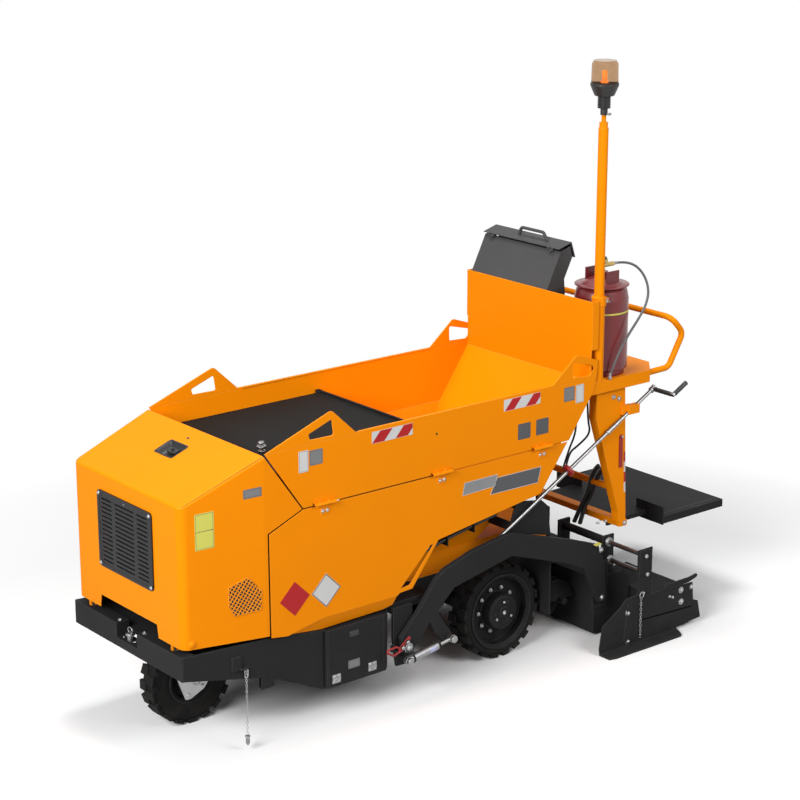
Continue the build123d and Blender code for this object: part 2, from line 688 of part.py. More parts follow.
# ---- levelling spindles with their cranks ----
crank_len = 139.0
spindle_thick = 262.0       # the spindle is thicker from here down to its collar
spindle_step = 347.0
spindle_disc = 640.0
with BuildPart() as spindles:
    for name, s in sides:
        with Locations(spindle_spot(spindle_len / 2, s)):
            Cylinder(spindle_r, spindle_len)
        with Locations(spindle_spot((spindle_thick + spindle_step) / 2, s)):
            Cylinder(spindle_r + 2.5, spindle_step - spindle_thick)
        with Locations(spindle_spot(spindle_step, s)):
            Cylinder(13, 16)
        with Locations(spindle_spot(spindle_disc, s)):
            Cylinder(24, 12)
        # crank: hub, rounded arm and the grip
        with Locations(spindle_spot(9, s)):
            Cylinder(15, 30)
        with BuildSketch(Plane(spindle_spot(9, s)).offset(-6)):
            with Locations((0, s * crank_len / 2)):
                SlotOverall(crank_len + 18, 18, rotation=90)
        extrude(amount=12)
        with Locations(spindle_spot(9, s) * Location((0, s * crank_len, -45))):
            Cylinder(9, 100)
spindles.part.label = "spindles"

# ---- chain that hangs from the pointer's bracket ----
with BuildPart() as pointer_chain:
    with Locations((1346, 441, 24)):
        Cylinder(4, 358, align=(Align.CENTER, Align.CENTER, Align.MIN))
pointer_chain.part.label = "pointer_chain"

# ---- hood: plan outline against side outline, hollow, open behind and below ----
hood_plan = [(1650, hood_front_half), (1244, half_width), (1000, half_width), (1000, -half_width),
             (1244, -half_width), (1650, -hood_front_half)]
hood_side = [(1650, 536), (1650, 1165), (1244, 1317), (1046, 1041), (1228, 968),
             (1225, 503)]
room_half = half_width - sheet
room_front_half = hood_front_half - sheet
room_plan = [(1646, room_front_half), (1244, room_half), (990, room_half), (990, -room_half),
             (1244, -room_half), (1646, -room_front_half)]
room_side = [(1646, 490), (1646, 1162.2), (1245.8, 1312), (1152, 1181), (1152, 1130),
             (990, 1130), (990, 490)]


# latch recess in the sloping top: its middle, and its length down the slope
latch_long = 92.0
latch_wide = 132.0
slope_len = math.dist((1650, 1165), (1244, 1317))
slope_dir = ((1650 - 1244) / slope_len, (1165 - 1317) / slope_len)
latch_spot = (1244 + 157 * slope_dir[0], -27, 1317 + 157 * slope_dir[1])


def hood_solid(plan, profile, corner):
    with BuildPart() as solid:
        with BuildSketch(Plane.XY):
            with BuildLine():
                Polyline(plan, close=True)
            make_face()
            fillet(vertices().sort_by(Axis.X)[-2:], radius=corner)
        extrude(amount=1500)
        with BuildSketch(Plane.XZ):
            with BuildLine():
                Polyline(profile, close=True)
            make_face()
        extrude(amount=500, both=True, mode=Mode.INTERSECT)
    return solid.part


with BuildPart() as hood_shell:
    add(hood_solid(hood_plan, hood_side, 38))
    fillet(edges().filter_by(GeomType.LINE).filter_by(Axis.Y).sort_by(Axis.X)[-1], radius=16)
    add(hood_solid(room_plan, room_side, 30), mode=Mode.SUBTRACT)
    # opening behind the grille, notch over the bumper, rounded hole of the latch recess
    with Locations((1648, 0, 915)):
        Box(20, 396, 316, mode=Mode.SUBTRACT)
    with BuildSketch(Plane.YZ.offset(1630)):
        with BuildLine():
            Polyline([(-237, 520), (-225, 595), (225, 595), (237, 520)], close=True)
        make_face()
    extrude(amount=40, mode=Mode.SUBTRACT)
    with BuildSketch(Plane(origin=latch_spot, x_dir=(slope_dir[0], 0, slope_dir[1]),
                           z_dir=(-slope_dir[1], 0, slope_dir[0]))):
        RectangleRounded(latch_long, latch_wide, 12)
    extrude(amount=30, both=True, mode=Mode.SUBTRACT)
    for name, s in sides:
        with Locations((1642, s * 330, 540)):
            Box(10, 12, 60)
        with Locations((hood_hinge[0], s * 330, hood_hinge[1])):
            Cylinder(10, 12, rotation=(90, 0, 0))
            Cylinder(hood_pin_r - run_gap, 40, rotation=(90, 0, 0))
        with Locations((1638, s * 330, 524)):
            Box(16, 12, 12)
hood_shell.part.label = "hood_shell"

# ---- grille: framed plate with rounded corners, three fields of slots ----
grille_wide = 430.0
grille_high = 350.0
grille_mid = 915.0
grille_t = 8.0
grille_rows = 15
slot_pitch = 20.0
slot_high = 8.0
grille_fields = ((-142, 84), (0, 150), (142, 84))   # middle and length of each field's slots
with BuildPart() as grille:
    with BuildSketch(Plane.YZ.offset(1650)):
        with Locations((0, grille_mid)):
            RectangleRounded(grille_wide, grille_high, 20)
    extrude(amount=grille_t)
    # set-back field inside the frame
    with BuildSketch(Plane.YZ.offset(1650)):
        with Locations((0, grille_mid)):
            RectangleRounded(grille_wide - 40, grille_high - 40, 12)
    extrude(amount=3, mode=Mode.SUBTRACT)
    with BuildSketch(Plane.YZ.offset(1650 + grille_t - 2)):
        with Locations((0, grille_mid)):
            RectangleRounded(grille_wide - 28, grille_high - 28, 14)
    extrude(amount=3, mode=Mode.SUBTRACT)
    with BuildSketch(Plane.YZ.offset(1645)):
        for y, wide in grille_fields:
            for k in range(grille_rows):
                with Locations((y, grille_mid + slot_pitch * (k - (grille_rows - 1) / 2))):
                    SlotOverall(wide, slot_high)
    extrude(amount=20, mode=Mode.SUBTRACT)
grille.part.label = "grille"

# ---- engine cover ----
with BuildPart() as engine_cover:
    with Locations(((291 + 1160) / 2, 0, cover_z - 2)):
        Box(1160 - 291, 2 * cover_half, 4)
    with Locations((290, 0, cover_z + 3)):
        Box(10, 2 * cover_half, 22)
    for name, s in sides:
        with Locations((cover_hinge[0], s * (cover_half - 6), cover_hinge[1])):
            Box(20, 12, 20)
        with Locations((cover_hinge[0], s * (half_width - 14), cover_hinge[1])):
            Cylinder(cover_pin_r - run_gap, 26, rotation=(90, 0, 0))
engine_cover.part.label = "engine_cover"

# ---- lower side panels: bar loop at the lower edge, bottom strip folded inwards ----
panel_outline = [(1038.5, 1037), (-505, 1037), (-339, 815), (-224, 800), (284, 728),
                 (411, 564), (436, 530), (507, 526), (524, fold_z), (930, fold_z), (1130, 479),
                 (1216, 492), (1219, 963)]
loop_slot = [(497, 546), (452, 551), (432, 574), (312, 714), (330, 714), (505, 545)]
strip_outline = [(524, fold_z + 4), (930, fold_z + 4), (1130, 479), (930, 452), (590, 460),
                 (538, 472)]
strip_high = 70.0
strip_in = 28.0             # how far the folded strip leans inwards at its foot


def folded_strip(s):
    with BuildPart() as strip:
        with BuildSketch(Plane.YZ.offset(500)):
            with BuildLine():
                Polyline([(s * half_width, fold_z), (s * (half_width - strip_in), fold_z - strip_high),
                          (s * (half_width - strip_in - sheet), fold_z - strip_high),
                          (s * (half_width - sheet), fold_z), (s * (half_width - sheet), fold_z + 4),
                          (s * half_width, fold_z + 4)], close=True)
            make_face()
        extrude(amount=700)
        with BuildSketch(Plane.XZ):
            with BuildLine():
                Polyline(strip_outline, close=True)
            make_face()
        extrude(amount=600, both=True, mode=Mode.INTERSECT)
    return strip.part


def side_panel(name, s):
    with BuildPart() as panel:
        with BuildSketch(Plane.XZ.offset(-s * (half_width - sheet / 2))):
            with BuildLine():
                Polyline(panel_outline, close=True)
            make_face()
            with BuildLine():
                FilletPolyline(*loop_slot, radius=2, close=True)
            make_face(mode=Mode.SUBTRACT)
        extrude(amount=sheet / 2, both=True)
        add(folded_strip(s))
        for x in hinge_stations:
            with Locations((x, s * (half_width + 1.5), 1015)):
                Box(36, 3, 44)
            with Locations((x, s * (half_width + 4.5), seam_z - 9)):
                Box(36, 9, 12)
            with Locations((x, s * panel_hinge_y, seam_z)):
                Cylinder(8, 36, rotation=(0, 90, 0))
            with Locations((x, s * panel_hinge_y, seam_z)):
                Cylinder(panel_pin_r + run_gap, 60, rotation=(0, 90, 0), mode=Mode.SUBTRACT)
    panel.part.label = name
    return panel.part


side_panel_parts = [side_panel("side_panel_" + name, s) for name, s in sides]

# ---- front fork: crown, two V-shaped legs, king pin and axle ----
crown_z = 433.0
fork_leg = [(1368 - 62, 439), (1368 - 22, 200), (1368 + 22, 200), (1368 + 62, 439)]
fork_window = [(1368 - 34, 415), (1368 - 10, 262), (1368 + 10, 262), (1368 + 34, 415)]
with BuildPart() as front_fork:
    with Locations((front_axle_x, 0, crown_z)):
        Box(150, 150, 12)
    with Locations((front_axle_x, 0, crown_z)):
        Cylinder(king_pin_r - run_gap, 32, align=(Align.CENTER, Align.CENTER, Align.MIN))
    for s in (1, -1):
        with BuildSketch(Plane.XZ.offset(-s * 64)):
            with BuildLine():
                Polyline(fork_leg, close=True)
            make_face()
            with BuildLine():
                Polyline(fork_window, close=True)
            make_face(mode=Mode.SUBTRACT)
        extrude(amount=5, both=True)
    with Locations((front_axle_x, 0, front_tyre_r)):
        Cylinder(front_pin_r, 170, rotation=(90, 0, 0))
    for y in (75, -75):
        with Locations((front_axle_x, y, front_tyre_r)):
            Cylinder(20, 12, rotation=(90, 0, 0))
front_fork.part.label = "front_fork"


# ---- wheels ----
def ring(outline, x, z):
    with BuildPart() as turned:
        with BuildSketch(wheel_plane(x, z)):
            with BuildLine():
                Polyline(outline, close=True)
            make_face()
        revolve(axis=Axis((x, 0, z), wheel_dir))
    return turned.part


def tyre(name, outline, lugs, x, z):
    count, top, deep, wide, rows = lugs
    with BuildPart() as body:
        add(ring(outline, x, z))
        for row, (y_low, y_high) in enumerate(rows):
            for k in range(count):
                turn = 90 + 360 / count * (k + row / 2)
                spot = Location((x, (y_low + y_high) / 2, z), (0, turn, 0))
                with Locations(spot * Location((top - deep / 2, 0, 0))):
                    Box(deep, y_high - y_low, wide)
    body.part.label = name
    return body.part


# lug table: count round the tyre, radius of the lug's top, depth, width, rows across
front_wall = front_tyre_r - front_rim_r
front_lugs = (18, front_tyre_r, 0.174 * front_wall, 44, ((2, 50), (-50, -2)))
front_bead = front_rim_r - 14
front_tyre_outline = [(-46, front_rim_r), (-50, front_rim_r + 0.24 * front_wall),
                      (-48, front_rim_r + 0.74 * front_wall), (-36, front_rim_r + 0.9 * front_wall),
                      (36, front_rim_r + 0.9 * front_wall), (48, front_rim_r + 0.74 * front_wall),
                      (50, front_rim_r + 0.24 * front_wall), (46, front_rim_r),
                      (38, front_bead), (-38, front_bead)]
front_rim_outline = [(-38, front_bead), (-46, front_rim_r), (-50, front_rim_r),
                     (-50, front_rim_r - 6), (-42, front_rim_r - 20), (-8, front_rim_r - 26),
                     (-8, 60), (-36, 40), (-36, front_pin_r + run_gap),
                     (36, front_pin_r + run_gap), (36, 40), (8, 60), (8, front_rim_r - 26),
                     (42, front_rim_r - 20), (50, front_rim_r - 6), (50, front_rim_r),
                     (46, front_rim_r), (38, front_bead)]
front_tyre_part = tyre("front_tyre", front_tyre_outline, front_lugs, front_axle_x,
                       front_tyre_r)
front_rim_part = ring(front_rim_outline, front_axle_x, front_tyre_r)
front_rim_part.label = "front_rim"


def rear_wheel(name, s):
    y0 = rear_tyre_in
    y1 = rear_tyre_out
    wall = rear_tyre_r - rear_rim_r
    bead = rear_rim_r - 12
    side_r = rear_rim_r + wall / 3
    shoulder_r = rear_rim_r + 0.625 * wall
    crown_r = rear_rim_r + 0.77 * wall
    tyre_outline = [(s * y, r) for y, r in (
        (y0 + 4, rear_rim_r), (y0, side_r), (y0 + 2, shoulder_r), (y0 + 12, crown_r),
        (y1 - 12, crown_r), (y1 - 2, shoulder_r), (y1, side_r), (y1 - 4, rear_rim_r),
        (y1 - 10, bead), (y0 + 10, bead))]
    rim_outline = [(s * y, r) for y, r in (
        (y0 + 10, bead), (y0 + 4, rear_rim_r), (y0 - 1, rear_rim_r), (y0 + 4, bead - 6),
        (y1 - 60, bead - 12), (y1 - 60, 85), (y0 + 10, 85), (y0 + 10, rear_stub_r + run_gap),
        (y1 + 16, rear_stub_r + run_gap), (y1 + 16, 78), (y1 + 10, 85), (y1 - 50, 85),
        (y1 - 50, bead - 8), (y1 - 7, bead - 6), (y1 + 3, rear_rim_r - 2),
        (y1 + 3, rear_rim_r + 2), (y1 - 3.5, rear_rim_r + 2), (y1 - 4, rear_rim_r),
        (y1 - 10, bead))]
    rows = ((y0, y0 + 54), (y0 + 62, y1))
    if s < 0:
        rows = tuple((-high, -low) for low, high in rows)
    lugs = (20, rear_tyre_r, 0.3125 * wall, 42, rows)
    made = tyre("rear_tyre_" + name, tyre_outline, lugs, rear_axle_x, rear_tyre_r)
    rim = ring(rim_outline, rear_axle_x, rear_tyre_r)
    with BuildPart() as cap:
        add(rim)
        with Locations(Location((rear_axle_x, s * (y1 - 46), rear_tyre_r), (90, 0, 0))):
            with PolarLocations(108, 10):
                Cylinder(9, 10)
        with Locations(Location((rear_axle_x, s * (y1 + 16), rear_tyre_r), (90, 0, 0))):
            Cylinder(rear_stub_r + 8, 12)
            with PolarLocations(52, 3):
                Cylinder(6, 8)
    cap.part.label = "rear_rim_" + name
    return [made, cap.part]


rear_wheel_parts = [part for name, s in sides for part in rear_wheel(name, s)]

# ---- screed arms ----
arm_outline = [(508, 250), (523, 321), (427, 420), (317, 557), (268, 589), (107, 638),
               (-98, 670), (-138, 671), (-517, 554), (-697, 487), (-734, 396), (-762, 187),
               (-708, 185), (-612, 381), (-520, 429), (-140, 561), (72, 518), (214, 488),
               (294, 417), (316, 395), (226, 265), (249, 235), (272, 248), (321, 300),
               (357, 359), (389, 317), (456, 250)]
with BuildPart() as screed_arms:
    for name, s in sides:
        with BuildSketch(Plane.XZ.offset(-s * (arm_in + arm_t / 2))):
            with BuildLine():
                Polyline(arm_outline, close=True)
            make_face()
            with Locations((tow_x, tow_z)):
                Circle(32)
            with Locations(lift_rear):
                Circle(24)
        extrude(amount=arm_t / 2, both=True)
        with Locations((tow_x, s * (arm_in + arm_t) / 2 + s * 209, tow_z)):
            Cylinder(tow_pin_r - run_gap, 62, rotation=(90, 0, 0))
        with Locations((lift_rear[0], s * 504, lift_rear[1])):
            Cylinder(lift_pin_r, 50, rotation=(90, 0, 0))
screed_arms.part.label = "screed_arms"

# ---- screed frame: main box, side plates under the arms, tubes of the guide rods ----
box_outline = [(box_front, 14), (box_front, 300), (-900, 300), (box_rear, 250),
               (box_rear, 14)]
with BuildPart() as screed_frame:
    with BuildSketch(Plane.XZ):
        with BuildLine():
            Polyline(box_outline, close=True)
        make_face()
    extrude(amount=arm_in - 6, both=True)
    with BuildSketch(Plane.XZ):
        with BuildLine():
            Polyline(box_outline, close=True)
        make_face()
        offset(amount=-6, kind=Kind.INTERSECTION, mode=Mode.REPLACE)
    extrude(amount=arm_in - 12, both=True, mode=Mode.SUBTRACT)
    for name, s in sides:
        with Locations((-740, s * (arm_in - 5), 265)):
            Box(100, 10, 240)
        for y in (76, 388):
            with Locations((-850, s * y, 388)):
                Box(76, 12, 176)
        for x, z in guide_rods:
            with Locations((x, s * 232, z)):
                Cylinder(20, 324, rotation=(90, 0, 0))
            with Locations((x, s * 240, z)):
                Cylinder(guide_r + run_gap, 340, rotation=(90, 0, 0), mode=Mode.SUBTRACT)
screed_frame.part.label = "screed_frame"

# ---- extensions with their end plates and guide rods ----
end_outline = [(-685, 8), (-728, 250), (-800, 252), (-800, 480), (-895, 480), (-895, 240),
               (-1186, 227), (-1194, 134), (-1228, 120), (-1250, 28), (-1087, 20),
               (-1080, 8)]
wing_outline = [(-686, 8), (-728, 250), (-686, 212), (-574, 146), (-555, 33), (-560, 8)]
foot_plan = [(-560, 645), (-560, 716), (-600, 726), (-1040, 726), (-1054, 713), (-1087, 645)]


def extension(name, s):
    with BuildPart() as ext:
        with BuildSketch(Plane.XZ.offset(-s * (end_plate_y + 3))):
            with BuildLine():
                Polyline(end_outline, close=True)
            make_face()
            with BuildLine():
                Polyline(wing_outline, close=True)
            make_face()
        extrude(amount=3, both=True)
        with BuildSketch(Plane.XY):
            with BuildLine():
                Polyline([(x, s * y) for x, y in foot_plan], close=True)
            make_face()
        extrude(amount=8)
        # sliding box behind the main box
        with Locations((-1065, s * (200 + end_plate_y) / 2, 110)):
            Box(220, end_plate_y - 200, 190)
        for x, z in guide_rods:
            with Locations((x, s * (230 + end_plate_y) / 2, z)):
                Cylinder(guide_r, end_plate_y - 230 + 2, rotation=(90, 0, 0))
    ext.part.label = name
    return ext.part


extension_parts = [extension("extension_" + name, s) for name, s in sides]

# ---- auger: shaft with paddles ----
paddle_stations = (95, 155, 215, 275, 335)
with BuildPart() as auger:
    with Locations((auger_x, 0, auger_z)):
        Cylinder(auger_shaft_r, 760, rotation=(90, 0, 0))
    for name, s in sides:
        for k, y in enumerate(paddle_stations):
            spot = Location((auger_x, s * y, auger_z), (0, 90 * k, 0))
            with BuildSketch(Plane(spot * Location((0, 0, 0), (90 + s * 18, 0, 0)))):
                Circle(auger_r)
                Circle(auger_shaft_r - 2, mode=Mode.SUBTRACT)
                with Locations((0, -auger_r / 2 - 10)):
                    Rectangle(2 * auger_r, auger_r + 20, mode=Mode.SUBTRACT)
            extrude(amount=3, both=True)
auger.part.label = "auger"

# ---- platform ----
with BuildPart() as platform:
    with Locations((-1450, 0, step_z - 3)):
        Box(434, 2 * step_half, 6)
    with Locations((rear_x + 3, 0, step_z - 19.5)):
        Box(6, 2 * step_half, 39)
    for name, s in sides:
        with Locations((-1450, s * (step_half - 3), step_z - 19.5)):
            Box(434, 6, 39)
        with Locations((-1236, s * (step_half - 95), 489.5)):
            Box(6, 190, 95)
        with Locations(((step_hinge[0] - 1239) / 2, s * 258, step_z - 12)):
            Box(1239 + step_hinge[0], 12, 24)
        with Locations((step_hinge[0], s * 258, step_hinge[1])):
            Cylinder(15, 12, rotation=(90, 0, 0))
            Cylinder(step_pin_r - run_gap, 40, rotation=(90, 0, 0))
        with Locations((step_hinge[0] - 10, s * 258, 493)):
            Box(24, 12, 30)
    with Locations((-1236, 0, step_z - 19.5)):
        Box(6, 2 * step_half, 39)
    with Locations((-1140, 0, step_z - 3)):
        Box(200, 528, 6)
platform.part.label = "platform"

# ---- lift cylinders: barrel on the chassis pin, rod on the arm's pin ----
lift_dx = lift_rear[0] - lift_front[0]
lift_dz = lift_rear[1] - lift_front[1]
lift_len = (lift_dx ** 2 + lift_dz ** 2) ** 0.5
lift_turn = -80.72          # turns +Z onto the line from the front pin to the rear pin


def lift_spot(along, s):
    return Location((lift_front[0] + lift_dx * along / lift_len, s * lift_y,
                     lift_front[1] + lift_dz * along / lift_len), (0, lift_turn, 0))


with BuildPart() as lift_barrels:
    for name, s in sides:
        with Locations(lift_spot(100, s)):
            Cylinder(19, 168)
        with Locations(lift_spot(0, s)):
            Cylinder(18, 22, rotation=(90, 0, 0))
        with Locations(lift_spot(15, s)):
            Box(24, 22, 30)
        with Locations(lift_spot(120, s)):
            Cylinder(lift_rod_r + run_gap, 140, mode=Mode.SUBTRACT)
        with Locations((lift_front[0], s * lift_y, lift_front[1])):
            Cylinder(lift_pin_r + run_gap, 60, rotation=(90, 0, 0), mode=Mode.SUBTRACT)
lift_barrels.part.label = "lift_barrels"

with BuildPart() as lift_rods:
    for name, s in sides:
        with Locations(lift_spot(lift_len - 75, s)):
            Cylinder(lift_rod_r, 130)
        with Locations(lift_spot(lift_len, s)):
            Cylinder(18, 22, rotation=(90, 0, 0))
        with Locations((lift_rear[0], s * lift_y, lift_rear[1])):
            Cylinder(lift_pin_r + eye_gap, 60, rotation=(90, 0, 0), mode=Mode.SUBTRACT)
lift_rods.part.label = "lift_rods"

built = [main_frame, engine_block, side_boxes, hopper_rear_wall, hopper_floor, lifting_eyes, conveyor,
         rear_axle, rear_legs, rear_deck, handrail, console_body, console_lid, mast_post,
         mast_tube, gas_bottle, gas_valve, gas_hose, spindles, hopper_brackets, engine_tray,
         side_plates, tow_plates, bumper, hose_bundle, pointer_chain, hood_shell, grille,
         engine_cover, front_fork, screed_arms, screed_frame, auger, platform, lift_barrels, lift_rods]
solids = [maker.part for maker in built] + hopper_side_parts + side_panel_parts
solids = solids + beacon_parts + rear_wheel_parts + extension_parts + [front_tyre_part, front_rim_part]
for solid in solids:
    export_step(solid, "parts/" + solid.label + ".step")
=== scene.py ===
import math

import bmesh
import bpy
from mathutils import Euler, Matrix, Vector


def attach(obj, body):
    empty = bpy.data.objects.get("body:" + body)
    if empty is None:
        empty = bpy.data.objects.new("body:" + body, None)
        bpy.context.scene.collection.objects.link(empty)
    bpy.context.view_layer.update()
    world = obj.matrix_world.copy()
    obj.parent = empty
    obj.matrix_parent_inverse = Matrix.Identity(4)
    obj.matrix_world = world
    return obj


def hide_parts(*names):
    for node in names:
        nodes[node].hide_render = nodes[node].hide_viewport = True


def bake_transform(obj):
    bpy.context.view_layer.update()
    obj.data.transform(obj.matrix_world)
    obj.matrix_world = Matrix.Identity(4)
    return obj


# Looks of a compact three-wheel asphalt paver: +X to the hood, +Y to the machine's left, +Z up.
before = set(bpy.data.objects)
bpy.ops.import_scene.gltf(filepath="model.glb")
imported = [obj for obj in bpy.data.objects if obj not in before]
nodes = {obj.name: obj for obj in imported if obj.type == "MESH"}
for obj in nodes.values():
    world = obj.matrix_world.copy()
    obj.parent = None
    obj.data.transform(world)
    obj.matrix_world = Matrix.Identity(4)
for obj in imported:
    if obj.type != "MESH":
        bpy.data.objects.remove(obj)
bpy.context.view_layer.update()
scene = bpy.context.scene


# -------- materials
def put(nt, made, sockets):
    """Set a node's inputs, each to a value or to another node's output."""
    for key, value in sockets.items():
        if isinstance(value, bpy.types.NodeSocket):
            nt.links.new(value, made.inputs[key])
        else:
            made.inputs[key].default_value = value


def node(nt, kind, sockets, **settings):
    """New shader node with its settings and inputs."""
    made = nt.nodes.new("ShaderNode" + kind)
    for key, value in settings.items():
        setattr(made, key, value)
    put(nt, made, sockets)
    return made


def new_tree(name):
    """Material with one Principled shader."""
    mat = bpy.data.materials.new(name)
    mat.use_nodes = True
    nt = mat.node_tree
    nt.nodes.clear()
    bsdf = node(nt, "BsdfPrincipled", {})
    node(nt, "OutputMaterial", {0: bsdf.outputs[0]})
    return mat, nt, bsdf


def object_coord(nt):
    return nt.nodes.new("ShaderNodeTexCoord").outputs["Object"]


def maths(nt, operation, a, b):
    return node(nt, "Math", {0: a, 1: b}, operation=operation).outputs[0]


def noise(nt, coord, scale, detail, rough=0.55, stretch=None):
    if stretch:
        coord = node(nt, "Mapping", {0: coord, "Scale": stretch}).outputs[0]
    return node(nt, "TexNoise", {"Vector": coord, "Scale": scale, "Detail": detail,
                                 "Roughness": rough}).outputs["Fac"]


def remap(nt, value, a, b, lo=0.0, hi=1.0):
    """Value from a to b turned into lo to hi, held beyond them."""
    return node(nt, "MapRange", {"Value": value, "From Min": a, "From Max": b,
                                 "To Min": lo, "To Max": hi}).outputs[0]


def blend_colour(nt, fac, a, b):
    """Mix of two colours, each three numbers or a socket."""
    a, b = ((*v, 1.0) if isinstance(v, tuple) else v for v in (a, b))
    return node(nt, "Mix", {0: fac, 6: a, 7: b}, data_type="RGBA").outputs[2]


def finish(name, colour, rough=(0.4, 0.55), metal=0.0, spec=0.4, shade=0.88, grain=220.0,
           bump=0.05, edge=None, edge_r=0.003, coat=0.0, streak=None, depth=0.0006, dust=None):
    """Painted, plated or moulded finish: slow colour drift, fine grain, rounded edges with painted
    light.

    shade darkens the drift's other end, edge is the colour painted on the rounded edges, a
    highlight where it is lighter and shade where it is darker, broken up like wear, streak
    stretches the grain, and dust is a film's colour and strength near the ground.
    """
    mat, nt, bsdf = new_tree(name)
    coord = object_coord(nt)
    fine = noise(nt, coord, grain, 3.0, 0.6, streak)
    drift = remap(nt, noise(nt, coord, 2.5, 3.0), 0.32, 0.68)
    col = blend_colour(nt, drift, tuple(c * shade for c in colour), colour)
    bevel = node(nt, "Bevel", {"Radius": edge_r}, samples=4).outputs[0]
    # Colour on the rounded edges: painted highlight where edge is lighter, painted shade where it
    # is darker, broken up by the grain.
    if edge:
        normal = nt.nodes.new("ShaderNodeNewGeometry").outputs["Normal"]
        dot = node(nt, "VectorMath", {0: bevel, 1: normal}, operation="DOT_PRODUCT")
        painted_edge_light = maths(nt, "MULTIPLY", remap(nt, dot.outputs["Value"], 0.995, 0.86),
                     remap(nt, fine, 0.35, 0.62, 0.25, 0.9))
        col = blend_colour(nt, painted_edge_light, col, edge)
    if dust:
        height = node(nt, "SeparateXYZ", {0: coord}).outputs[2]
        film = maths(nt, "MULTIPLY", remap(nt, height, 0.45, 0.0, 0.0, dust[1]),
                     remap(nt, noise(nt, coord, 14.0, 5.0), 0.35, 0.7))
        col = blend_colour(nt, film, col, dust[0])
    relief = node(nt, "Bump", {"Strength": bump, "Distance": depth, "Height": fine,
                               "Normal": bevel})
    put(nt, bsdf, {"Base Color": col, "Roughness": remap(nt, fine, 0.3, 0.7, *rough),
                   "Normal": relief.outputs[0], "Metallic": metal, "Specular IOR Level": spec,
                   "Coat Weight": coat, "Coat Roughness": 0.12})
    return mat


# The edge colours below are painted light on the rounded edges: highlights, and shade on
# label_grey.
orange = finish("paint_orange", (0.90, 0.262, 0.0008), (0.38, 0.5), spec=0.07, shade=0.965,
                edge=(1.0, 0.42, 0.06), grain=420.0, bump=0.05, edge_r=0.0035, depth=0.0003)
# A darker copy of the orange paint for the conveyor deep in the hopper: painted shade.
orange_shaded = finish("paint_orange_shaded", (0.80, 0.225, 0.0006), spec=0.06, shade=0.93,
                     edge=(0.95, 0.36, 0.03), grain=420.0, bump=0.05)
charcoal = finish("paint_charcoal", (0.023, 0.023, 0.024), (0.5, 0.64), spec=0.05, shade=0.82,
                  edge=(0.11, 0.11, 0.112), grain=520.0, bump=0.16, edge_r=0.003, depth=0.0004,
                  dust=((0.10, 0.092, 0.08), 0.10))
grille_black = finish("grille_black", (0.012, 0.012, 0.013), (0.45, 0.6), spec=0.3,
                      edge=(0.06, 0.06, 0.062), grain=300.0, bump=0.1)
cover_mat = finish("cover_coated", (0.014, 0.014, 0.0135), (0.55, 0.7), spec=0.04, shade=0.85,
                   edge=(0.09, 0.09, 0.095), grain=900.0, bump=0.35, depth=0.0005)
console_mat = finish("console_coated", (0.072, 0.072, 0.073), (0.42, 0.56), spec=0.08, shade=0.9,
                     edge=(0.15, 0.15, 0.155), grain=700.0, bump=0.2)
bottle_red = finish("paint_red", (0.165, 0.012, 0.015), (0.26, 0.4), spec=0.45, shade=0.85,
                    edge=(0.28, 0.04, 0.04), grain=260.0, bump=0.06, coat=0.25)
lever_red = finish("lever_red", (0.30, 0.012, 0.014), (0.35, 0.5), shade=0.85,
                   edge=(0.45, 0.08, 0.07), grain=260.0, bump=0.08)
steel = finish("bright_steel", (0.27, 0.27, 0.27), (0.24, 0.4), metal=1.0, spec=0.5, shade=0.86,
               edge=(0.85, 0.85, 0.86), grain=160.0, bump=0.08, streak=(1.0, 1.0, 9.0))
zinc = finish("zinc_plated", (0.27, 0.275, 0.28), (0.34, 0.5), metal=1.0, spec=0.5, shade=0.8,
              edge=(0.8, 0.8, 0.8), grain=90.0, bump=0.12)
fork_silver = finish("fork_silver", (0.50, 0.50, 0.51), (0.35, 0.5), metal=0.75, spec=0.5,
                     shade=0.78, edge=(0.75, 0.75, 0.75), grain=120.0, bump=0.2)
iron = finish("cast_iron", (0.012, 0.012, 0.0125), (0.45, 0.58), spec=0.09, shade=0.75, metal=0.0,
              edge=(0.13, 0.13, 0.135), grain=240.0, bump=0.35, depth=0.0008,
              dust=((0.10, 0.09, 0.08), 0.12))
rubber = finish("tyre_rubber", (0.009, 0.009, 0.0092), (0.7, 0.88), spec=0.12, shade=0.75,
                edge=(0.035, 0.034, 0.033), grain=180.0, bump=0.5, edge_r=0.004, depth=0.0012,
                dust=((0.06, 0.055, 0.048), 0.35))
hose_mat = finish("hose_rubber", (0.014, 0.014, 0.015), (0.42, 0.6), shade=0.8,
                  edge=(0.05, 0.05, 0.05), grain=420.0, bump=0.2, edge_r=0.001)
gas_mat = finish("gas_hose_grey", (0.10, 0.10, 0.10), (0.4, 0.55), shade=0.8,
                 edge=(0.18, 0.18, 0.18), grain=420.0, bump=0.2, edge_r=0.001)
brass = finish("valve_brass", (0.55, 0.40, 0.16), (0.25, 0.4), metal=1.0, spec=0.5, shade=0.8,
               edge=(0.8, 0.62, 0.3), grain=140.0, bump=0.1, edge_r=0.001)
plastic = finish("black_plastic", (0.012, 0.012, 0.012), (0.36, 0.5), spec=0.45, shade=0.85,
                 edge=(0.045, 0.045, 0.045), grain=500.0, bump=0.15, edge_r=0.0015)
printed = dict(rough=(0.4, 0.5), spec=0.35, shade=0.93, grain=300.0, bump=0.02, edge_r=0.0005)
label_white = finish("label_white", (0.62, 0.62, 0.61), **printed)
label_yellow = finish("label_yellow", (0.62, 0.60, 0.11), **printed)
label_lilac = finish("label_lilac", (0.42, 0.45, 0.66), **printed)
sign_red = finish("sign_red", (0.42, 0.003, 0.006), (0.38, 0.5), spec=0.35, shade=0.92,
                  grain=300.0, bump=0.02, edge_r=0.0005)
